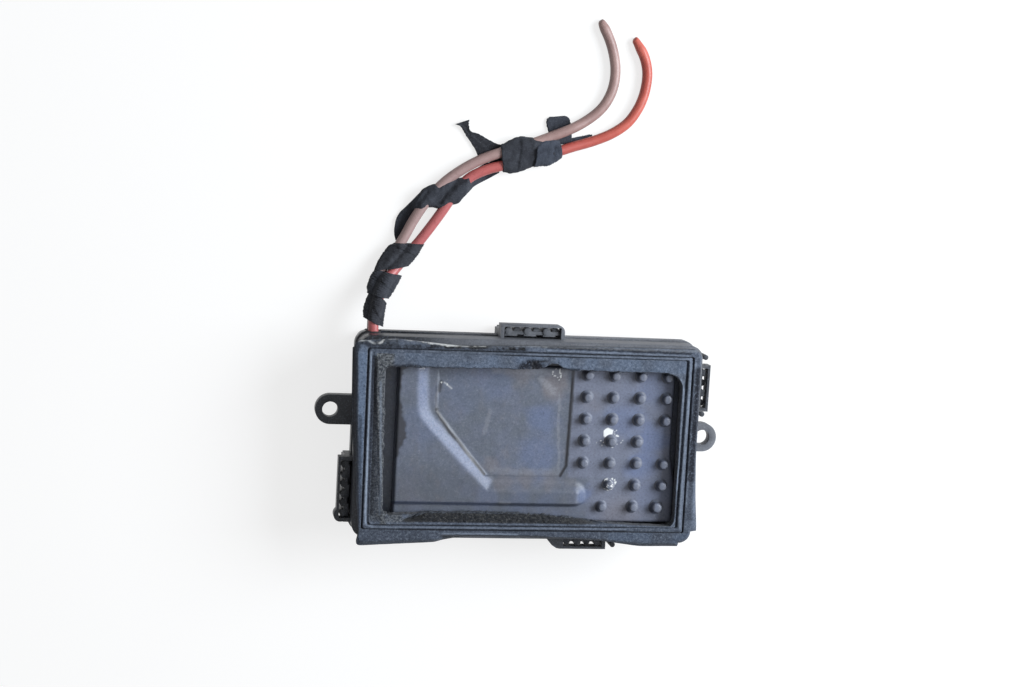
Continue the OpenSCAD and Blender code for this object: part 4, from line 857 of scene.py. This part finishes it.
def copyMesh(nodeName, keepBelow=None):  # a merged copy of a CAD node, cut off flat at a height
    work = bmesh.new()
    work.from_mesh(nodes[nodeName].data)
    bmesh.ops.remove_doubles(work, verts=work.verts, dist=1e-6)
    if keepBelow is not None:
        everything = work.verts[:] + work.edges[:] + work.faces[:]
        cut = bmesh.ops.bisect_plane(work, geom=everything, plane_co=(0, 0, keepBelow * mm),
                                     plane_no=(0, 0, 1), clear_outer=True)
        edges = [e for e in cut["geom_cut"] if isinstance(e, bmesh.types.BMEdge)]
        bmesh.ops.holes_fill(work, edges=edges, sides=0)
    bmesh.ops.dissolve_limit(work, angle_limit=math.radians(1), verts=work.verts, edges=work.edges)
    return work


sinkPoints, sinkFaces, sinkValues = makeHeatSink(sink)
heatSink = makePiece("cast_heat_sink", sinkPoints, sinkFaces, finishes["heat_sink_coat"], "heat_sink_coat",
                     values=sinkValues)
turnOut(heatSink)
base = copyMesh("heat_sink", sink["base"] + 0.1)
base.from_mesh(heatSink.data)
base.to_mesh(heatSink.data)
base.free()
heatSink.data.update()
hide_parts("heat_sink")
print("heat sink:", len(heatSink.data.polygons), "faces")


# foam gasket
foam = {
    "around": 1000, "low": 26.0, "top": 30.0, "halfL": 61.5, "halfW": 35.5,
    "window": (-52.0, 55.0, -30.2, 27.0),
    # corners of each groove, and its half width on the top, right, bottom and left
    "outerGroove": ((-58.7, 31.7), (57.1, 31.9), (57.3, -31.8), (-58.4, -31.8)),
    "outerHalf": (0.3, 0.42, 0.3, 0.5),
    "innerGroove": ((-57.0, 30.5), (55.1, 30.7), (54.8, -30.1), (-56.3, -30.3)),
    "innerHalf": (0.22, 0.62, 0.26, 0.7),
    "grooveDepth": 1.1, "valleyX": -57.4, "valleyDepth": 1.5, "tornDepth": 4.0, "lift": 0.02,
    # steps down the outside and how far it bulges there, steps underneath, and steps up the opening's wall
    "drop": (0.3, 0.55, 0.8, 1.0), "bulge": (0.12, 0.18, 0.1, 0.0), "across": (0.33, 0.67, 1.0),
    "climb": (0.75, 0.5, 0.25),
    # x by y: the lip of the left inner strip, and the edge of the pale band on the left outer strip
    "lipLine": ([-27, -18, -4, 8, 14, 21, 30], [-51.7, -52.5, -53.5, -54.6, -55.2, -55.5, -55.6]),
    "paleLine": ([-18, -4, 10, 20.5, 30], [-59.9, -60.6, -61.4, -61.8, -62.4]),
    # y by x: the upper edge of the torn band, and the white crack along the top with its strength
    "tornLine": ([-41, -36, 5, 12, 20, 27, 40], [-28.6, -26.4, -26.2, -27, -28, -29.3, -30.2]),
    "crackLine": (
        [-61.8, -59.1, -57.7, -56.4, -54.2, -52.9, -48.1, -47.1, -46.4, -42.9, -37.6, -34.1, -30.6, -20, -14,
         -9.5, -2, 8],
        [34.0, 34.4, 33.5, 33.2, 33.9, 35.0, 35.2, 35.6, 35.1, 34.8, 34.1, 33.7, 33.4, 33.6, 34.0, 34.2, 34.1,
         34],
    ),
    "crackStrength": (
        [-62, -57.5, -56, -54.5, -50, -34, -20, -9, 6], [0.7, 0.5, 0, 0.9, 0.75, 1, 0.85, 0.7, 0.1],
    ),
    # rounded corners: middle, directions, radius
    "roundOuter": [(56.3, 30.4, 1, 1, 4.4), (-60.6, 31.6, -1, 1, 2.6), (56.4, -31.6, 1, -1, 4.2)],
    "roundHole": [(48.3, 19.9, 1, 1, 5.6), (50.3, -26.6, 1, -1, 3.6), (-50.4, 22.9, -1, 1, 2.3),
                  (-49.6, -24.8, -1, -1, 1.5)],
    # pale and dark lines, painted highlights on ridges and edges and mostly painted shade in grooves, along
    # the opening's edge and down the outer sides: width, strength, points
    "pales": [
        (0.5, 0.6, [(-58, 30.3), (-57.8, 20), (-57.7, 8), (-57.5, -4), (-57.4, -26), (-56.8, -29.8),
                    (-54.7, -31)]),
        (0.42, 0.9, [(-57.7, 0), (-57.4, -14), (-57.4, -26)]),
        (0.36, 0.35, [(-54.7, -31.1), (6.7, -30.9), (36, -30.8)]),
        (0.5, 0.5, [(55.9, 31.3), (56.3, 22), (56, 0), (55.9, -20), (56.2, -30)]),
        (0.5, 0.4, [(58, 30), (58.3, 20), (58, 0), (58, -22)]),
        (0.7, 0.55, [(49.6, 25.4), (52.7, 23.4), (54.5, 19.4), (54.8, 9), (54.2, -16)]),
        (0.4, 0.5, [(-30, -33.2), (-16, -33), (-3, -33.1)]),
        (0.4, 0.35, [(4, 32.8), (25, 32.7), (55, 32.3)]), (0.4, 0.3, [(-38, 31.2), (-8, 31.4), (55, 31.2)]),
        (0.5, 0.4, [(-52.3, -26.6), (-52.6, -12), (-53, -4), (-53.4, 8), (-54, 20)]),
        (0.6, 0.5, [(-62.6, 34.2), (-59.1, 34.6), (-57.7, 33.6)]),
    ],
    "darks": [
        (1.2, 0.5, [(-56.6, 32), (-40, 32.3), (-20, 32), (-4, 31.9)]),
        (0.6, 0.85, [(2, 34), (12, 33.8), (23, 33.6), (37, 33.5), (45, 33.4), (56, 33.2)]),
        (0.9, 0.85, [(-52, 24.4), (-50, 25.3), (-43, 25.8), (-37, 25.2), (-28, 25), (-22, 25)]),
        (0.6, 0.4, [(-22, 25), (-14, 25.2), (-7, 25.8)]),
        (1.9, 1.0, [(-4.6, 26.6), (-2.4, 28), (0.2, 27.6), (2, 26.6)]),
        (0.55, 0.85, [(3, 26.5), (10, 26.5), (25, 25.5), (45, 25.6), (49, 24.9)]),
        (0.7, 0.7, [(-58, 31.9), (-47, 32), (-37, 32.1)]), (0.6, 0.6, [(-34, 31.4), (-16, 31.8), (-6, 31.9)]),
        (0.6, 0.5, [(-6, 31.9), (20, 31.8), (54, 31.9)]),
        (1.1, 0.8, [(-60.5, 33.6), (-57.4, 32.6), (-55.4, 33.6)]),
        (0.5, 0.6, [(-45, -31.8), (36, -31.5)]), (0.5, 0.5, [(-54, -30.2), (36, -30.1)]),
        (1.2, 0.75, [(-29, -34.6), (-16, -34.6), (-4, -34.7), (4, -34.8)]),
        (0.7, 0.6, [(-60.6, 8), (-60.2, -4), (-59.6, -18), (-59.4, -30)]),
        (1.3, 0.6, [(-56.2, 24), (-56, 0), (-55.2, -26)]),
        (2.0, 0.95, [(59.3, 27), (59.3, 20), (59.2, 5), (59, -12)]), (1.4, 0.5, [(59, -12), (59, -26)]),
    ],
}
outerSides = (
    [(-0.99, -1.6), (-0.8, -0.6), (-0.62, -1.4), (-0.41, -2.4), (0, -1.6), (0.5, -1.1), (0.9, -1)],
    [(0.84, -1.1), (0.4, -0.9), (-0.1, -0.7), (-0.5, 0.1), (-0.85, 1.3), (-0.98, 1.1)],
    [(0.98, 1.5), (0.68, 1.7), (0.44, -0.2), (0.14, -1), (-0.35, -1), (-0.52, 1), (-0.9, 2.3), (-0.98, 2.6)],
    [(-0.96, -2.4), (-0.75, -1.7), (-0.5, -0.5), (0, 0.8), (0.4, 1.8), (0.86, 2.3)],
)
holeSides = (
    [(-0.97, -1.9), (-0.3, -1.2), (0.02, -1.1), (0.07, 1.2), (0.13, 0.9), (0.17, -1.1), (0.93, -1.1)],
    [(0.9, -1.2), (0.5, -1.4), (-0.2, -1), (-0.86, -0.3)],
    [(0.93, 0), (0.7, 0), (0.57, -0.2), (0.45, -1.2), (0.3, -2.5), (0.08, -3.7), (-0.22, -4.2), (-0.68, -4),
     (-0.94, -3.6)],
    [(-0.84, -0.7), (-0.4, -0.4), (0, 0), (0.3, 0.1), (0.38, -0.4), (0.48, 0.5), (0.86, 0.8)],
)


def roundCorners(loop, corners):  # pulls the points of a corner in to its arc
    for cx, cy, sx, sy, r in corners:
        d = loop - (cx, cy)
        far = np.hypot(d[:, 0], d[:, 1])
        pull = (d[:, 0] * sx > 0) & (d[:, 1] * sy > 0) & (far > r)
        loop[pull] = (cx, cy) + d[pull] * (r / far[pull])[:, None]
    return loop


def sideLoop(sides, box, count, blur):
    # each side runs from corner to corner, s from -1 to 1, at box edge + offset(s); then softened by blur mm
    x0, x1, y0, y1 = box
    cx, cy, hx, hy = (x0 + x1) / 2, (y0 + y1) / 2, (x1 - x0) / 2, (y1 - y0) / 2
    share = np.array([hx, hy, hx, hy]) / (2 * (hx + hy))
    counts = np.round(share * count).astype(int)
    counts[-1] = count - counts[:3].sum()
    loop = []
    for k, (side, n) in enumerate(zip(sides, counts)):
        s = np.linspace(-1, 1, n, endpoint=False)
        if k in (1, 2):
            s = -s
        order = sorted(side)
        out = np.interp(s, [q[0] for q in order], [q[1] for q in order])
        flat = ((cx + s * hx, hy + cy + out), (hx + cx + out, cy + s * hy),
                (cx + s * hx, cy - hy - out), (cx - hx - out, cy + s * hy))[k]
        loop.append(np.stack(np.broadcast_arrays(*flat), -1))
    loop = np.concatenate(loop)
    step = 2 * (hx + hy) * 2 / count
    reach = int(4 * blur / step) + 1
    w = np.exp(-0.5 * (np.arange(-reach, reach + 1) * step / blur) ** 2)
    w /= w.sum()
    soft = sum(w[reach + k] * np.roll(loop, -k, axis=0) for k in range(-reach, reach + 1))
    return soft, counts


def cornerLoop(corners, halves, counts):  # straight lines from corner to corner, with the same points a side
    loop, widths = [], []
    for k, n in enumerate(counts):
        a, b = np.array(corners[k]), np.array(corners[(k + 1) % 4])
        loop.append(a + (b - a) * np.linspace(0, 1, n, endpoint=False)[:, None])
        widths.append(np.full(n, halves[k]))
    loop, widths = np.concatenate(loop), np.concatenate(widths)[:, None]
    for turns in range(3):
        loop = (loop + np.roll(loop, 1, 0) + np.roll(loop, -1, 0)) / 3
        widths = (widths + np.roll(widths, 1, 0) + np.roll(widths, -1, 0)) / 3
    return loop, widths


def near(x, y, boxes):  # 1 inside any box (x0, x1, y0, y1), fading over 0.7 mm across its edges
    mask = 0 * x
    for x0, x1, y0, y1 in boxes:
        d = np.minimum.reduce([x - x0, x1 - x, y - y0, y1 - y])
        mask = np.maximum(mask, fade(d / 0.7 + 0.5))
    return mask


def raised(loop, z):  # (x, y) points with their height
    return np.column_stack([loop, np.broadcast_to(z, len(loop))])


def makeFoam(k):
    # P(u, v): u runs round the gasket and v across it, from the opening's edge over the two grooves to
    # the outer edge, down the outside, back underneath and up the opening's wall
    outer, counts = sideLoop(outerSides, (-k["halfL"], k["halfL"], -k["halfW"], k["halfW"]), k["around"], 1.3)
    hole, _ = sideLoop(holeSides, k["window"], k["around"], 1.1)
    outer, hole = roundCorners(outer, k["roundOuter"]), roundCorners(hole, k["roundHole"])
    go, wo = cornerLoop(k["outerGroove"], k["outerHalf"], counts)
    gi, wi = cornerLoop(k["innerGroove"], k["innerHalf"], counts)
    inward = unit(gi - go)
    ragged = lumps(hole[:, 0], hole[:, 1], 0.8, 38) + 0.8 * lumps(hole[:, 0], hole[:, 1], 2.3, 39)
    hole = hole + inward * (0.28 * ragged * fade((42 - hole[:, 0]) / 6))[:, None]
    # the opening's edge keeps just inside the inner groove
    reach = np.sum((hole - gi) * inward, axis=1, keepdims=True)
    hole = hole + inward * np.maximum(wi + 0.25 - reach, 0)
    spans = [
        (hole, gi + inward * wi, 24), (gi + inward * wi * 0.75, gi, 2), (gi, gi - inward * wi * 0.6, 2),
        (gi - inward * wi, go + inward * wo, 6), (go + inward * wo * 0.75, go, 2),
        (go, go - inward * wo * 0.6, 2), (go - inward * wo, outer, 18),
    ]
    rows, marks = [], []
    for number, (a, b, n) in enumerate(spans):
        for t in np.linspace(0, 1, n):
            rows.append(a + (b - a) * t)
            marks.append((number, t))
    top = np.stack(rows, 1)
    x, y = top[..., 0], top[..., 1]
    number = np.array([m[0] for m in marks])
    t = np.array([m[1] for m in marks])
    lip, ridge, edge = number == 0, number == 3, number == 6
    sinking, rising = (number == 1) | (number == 4), (number == 2) | (number == 5)
    clogged = 0.7 * fade((-8 - x) / 8) * (y > 29) * ((number == 1) | (number == 2))
    depth = np.zeros(len(marks))
    depth[sinking] = -k["grooveDepth"] * (0.6 + 0.4 * t[sinking])
    depth[rising] = -k["grooveDepth"] * (1 - 0.4 * t[rising])
    depth[ridge] = -0.12 - 0.1 * np.abs(2 * t[ridge] - 1) ** 2
    depth[lip] = -0.15 - 0.7 * (1 - fade(t[lip] / 0.06))
    depth[edge] = -0.12 - 1.5 * fade((t[edge] - 0.62) / 0.38) ** 1.4
    z = k["top"] + depth * (1 - clogged)
    # left inner strip: a lip by the opening, then a valley down to the groove
    lipX = np.interp(y, *k["lipLine"])
    valley = fade((lipX - x) / 0.8 + 0.3) * fade((x - k["valleyX"]) / 0.4)
    valley = valley * fade((29.4 - y) / 1.5) * fade((y + 30) / 1.5) * lip
    z -= k["valleyDepth"] * valley * np.clip((lipX - x + 0.6) / (lipX - k["valleyX"]), 0, 1)
    # left outer strip and the middle of the bottom one fall away outside
    paleX = np.interp(y, *k["paleLine"])
    z -= 2.2 * fade((paleX - x) / 2.2) * edge
    z -= 1.9 * fade((-33.3 - y) / 1.3) * edge * fade((x + 33) / 5) * fade((8 - x) / 5)
    # torn band along the bottom, down to the block
    holeY = np.interp(x, *k["tornLine"])
    across = np.clip((y + 29.2) / np.maximum(holeY + 29.2, 0.5), 0, 1)
    band = fade((x + 47 - 2.2 * (y + 29.5)) / 3) * fade((30 - x) / 8) * lip * (y < -24)
    tornBand = band * fade((y + 29.5) / 0.6)
    z -= k["tornDepth"] * band * across ** 1.3
    torn = near(x, y, [(-39, -4, 32.3, 33.6), (-1.5, 8.5, 25.2, 29.2)])
    torn = torn + 0.6 * near(x, y, [(-56, -38, 32.2, 35.2)])
    torn = np.clip(torn, 0, 1) * fade(0.7 + 0.9 * lumps(x, y, 3.1, 21) + 0.5 * lumps(x, y, 1.0, 22))
    torn = np.maximum(torn, tornBand)
    ragged = 0.5 * lumps(x, y, 0.75, 23) + 0.5 * lumps(x, y, 0.42, 24)
    z += torn * (0.6 * ragged - 0.3) + 0.10 * lumps(x, y, 5.5, 25) + 0.07 * lumps(x, y, 1.3, 26)
    line = np.abs(y - np.interp(x, *k["crackLine"]) - 0.16 * lumps(x, y * 0, 0.9, 28))
    crack = np.interp(x, *k["crackStrength"]) * fade(1.3 - line / 0.42) * (y > 30)
    worn = np.clip(fade((x - lipX + 0.6) / 0.6) * fade((-49 - x) / 1.5) * (np.abs(y) < 30), 0, 1) * lip
    crumbs = fade((x + 55) / 2) * fade((-36 - x) / 7) * fade((-24.6 - y) / 1.2) * fade((y + 30.2) / 1.6)
    worn = np.maximum(0.85 * worn, 0.75 * crumbs * fade(0.75 + lumps(x, y, 1.5, 40)) * lip)
    worn = np.maximum(worn, 0.55 * valley)
    blue = 0.8 * fade((x - paleX) / 0.6 + 0.3) * fade((-58.9 - x) / 0.5) * fade((34 - y) / 6)
    blue = np.maximum(blue, 0.35 * near(x, y, [(-46, 56, 26, 30.4)]) * fade(0.5 + lumps(x, y, 5, 33)))
    blue = np.maximum(blue, 0.5 * near(x, y, [(30, 60, -36, -32)]) * fade(0.6 + lumps(x, y, 4, 34)))
    pale = painted(x, y, k["pales"], 0.08, 35)
    dark = painted(x, y, k["darks"], 0.16, 37)
    # painted shade in both grooves, weaker where they are shallow at the top left
    dark = np.maximum(dark, 0.75 * (sinking | rising) * (1 - clogged))
    # painted shade along the opening's lip
    dark = np.maximum(dark, 0.6 * lip * (1 - fade(t * 14 - 0.2)))
    # painted shade where the left outer strip falls away outside
    dark = np.maximum(dark, 0.95 * fade((paleX - 0.1 - x) / 0.9) * edge * (x < -50) * fade((y + 34) / 1.5))
    # outside, underside and the opening's wall
    seat = k["low"] + k["lift"]
    away = unit(outer - go)
    outside = [raised(outer + away * b, z[:, -1] + (seat - z[:, -1]) * d)
               for b, d in zip(k["bulge"], k["drop"])]
    under = [raised(outer + (hole - outer) * s, seat) for s in k["across"]]
    inside = []
    for d in k["climb"]:
        crumb = 0.25 * lumps(np.arange(len(hole)) * 0.5, d * 20, 1, 31)[:, None]
        inside.append(raised(hole - unit(hole - outer) * (0.12 + crumb), z[:, 0] + (seat - z[:, 0]) * d))
    grid = np.concatenate([np.stack([x, y, z], -1)] + [s[:, None] for s in outside + under + inside], axis=1)
    extra = grid.shape[1] - x.shape[1]
    rims = np.zeros((len(outer), extra))
    # outside, underside and the opening's wall get the torn and worn texture and painted shade (dark 0.3)
    values = {key: np.concatenate([mask, rims + level], 1) for key, mask, level in (
        ("torn", torn, 0.5), ("crack", crack, 0), ("worn", worn, 0.3), ("blue", blue, 0), ("pale", pale, 0),
        ("dark", dark, 0.3))}
    return grid, values


foamGrid, foamValues = makeFoam(foam)
gasket = makePiece("pressed_foam_gasket", foamGrid, cells(*foamGrid.shape[:2], True, True),
                   finishes["gasket_foam"], "gasket_foam", values=foamValues)
turnOut(gasket)
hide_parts("foam_gasket")
print("gasket:", len(gasket.data.polygons), "faces")


# moulded parts: merged copies with softened edges
def softened(name, nodeName, width):
    work = copyMesh(nodeName)
    mesh = bpy.data.meshes.new(name)
    work.to_mesh(mesh)
    work.free()
    mesh.materials.append(finishes[slotOf[nodeName]])
    mesh.polygons.foreach_set("use_smooth", np.full(len(mesh.polygons), True))
    obj = linked(name, mesh)
    bevel = obj.modifiers.new("softened edges", "BEVEL")
    bevel.width = width * mm
    bevel.segments = 2
    bevel.limit_method = "ANGLE"
    bevel.angle_limit = math.radians(32)
    bevel.harden_normals = True
    bevel.use_clamp_overlap = True
    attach(obj, "root")
    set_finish(obj, slotOf[nodeName])
    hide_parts(nodeName)


for name, nodeName, width in (
    ("moulded_housing", "main_housing", 0.35), ("moulded_cover", "rear_cover", 0.3),
    ("moulded_socket", "control_socket", 0.25), ("rubber_grommet", "wire_grommet", 0.25),
):
    softened(name, nodeName, width)
print("moulded parts done")


# floor, lamps and world
studio = {
    "world": 0.24, "floorHalf": 3.0, "floorTone": 0.28, "floorGlow": 0.755,
    # lamps: name, turn and height in degrees, distance and size in m, power, colour
    "lamps": [
        ("key", 20, 37, 0.75, (0.5, 0.4), 8.2, (0.9, 0.95, 1.0)),
        ("overhead", 80, 70, 1.1, (0.9, 0.9), 0.5, (1.0, 0.98, 0.95)),
    ],
}


def makeFloor(k):
    mesh = bpy.data.meshes.new("floor")
    corners = [(a * k["floorHalf"], b * k["floorHalf"], 0) for a, b in ((-1, -1), (1, -1), (1, 1), (-1, 1))]
    mesh.from_pydata(corners, [], [(0, 1, 2, 3)])
    obj = linked("floor", mesh)
    f = Finish("pale floor", Roughness=0.9, Specular_IOR_Level=0.1)
    f.feed(f.shader.inputs["Base Color"], (k["floorTone"],) * 3)
    glow = f.node("Emission", None, {"Color": (1, 1, 1), "Strength": f.watched() * k["floorGlow"]})
    both = f.node("AddShader", None, {0: Value(f, f.shader.outputs[0]), 1: glow})
    f.feed(f.tree.nodes["Material Output"].inputs["Surface"], both)
    mesh.materials.append(f.material)


def addLamp(name, turn, height, away, size, power, color):
    data = bpy.data.lights.new(name, "AREA")
    data.shape = "RECTANGLE"
    data.size, data.size_y = size
    data.energy = power
    data.color = color
    obj = linked(name, data)
    a, e = math.radians(turn), math.radians(height)
    out = np.array([math.cos(e) * math.cos(a), math.cos(e) * math.sin(a), math.sin(e)])
    side = unit(np.cross([0, 0, 1], out))
    aim(obj, side, np.cross(out, side), out, out * away)


makeFloor(studio)
for lamp in studio["lamps"]:
    addLamp(*lamp)

world = bpy.data.worlds.new("studio")
bpy.context.scene.world = world
world.use_nodes = True
sky = Graph(world.node_tree)
background = sky.tree.nodes["Background"]
sky.feed(background.inputs["Color"], (1, 1, 1))
sky.feed(background.inputs["Strength"], sky.watched() * (1 - studio["world"]) + studio["world"])
bpy.context.scene.view_settings.view_transform = "Standard"
print("studio done")
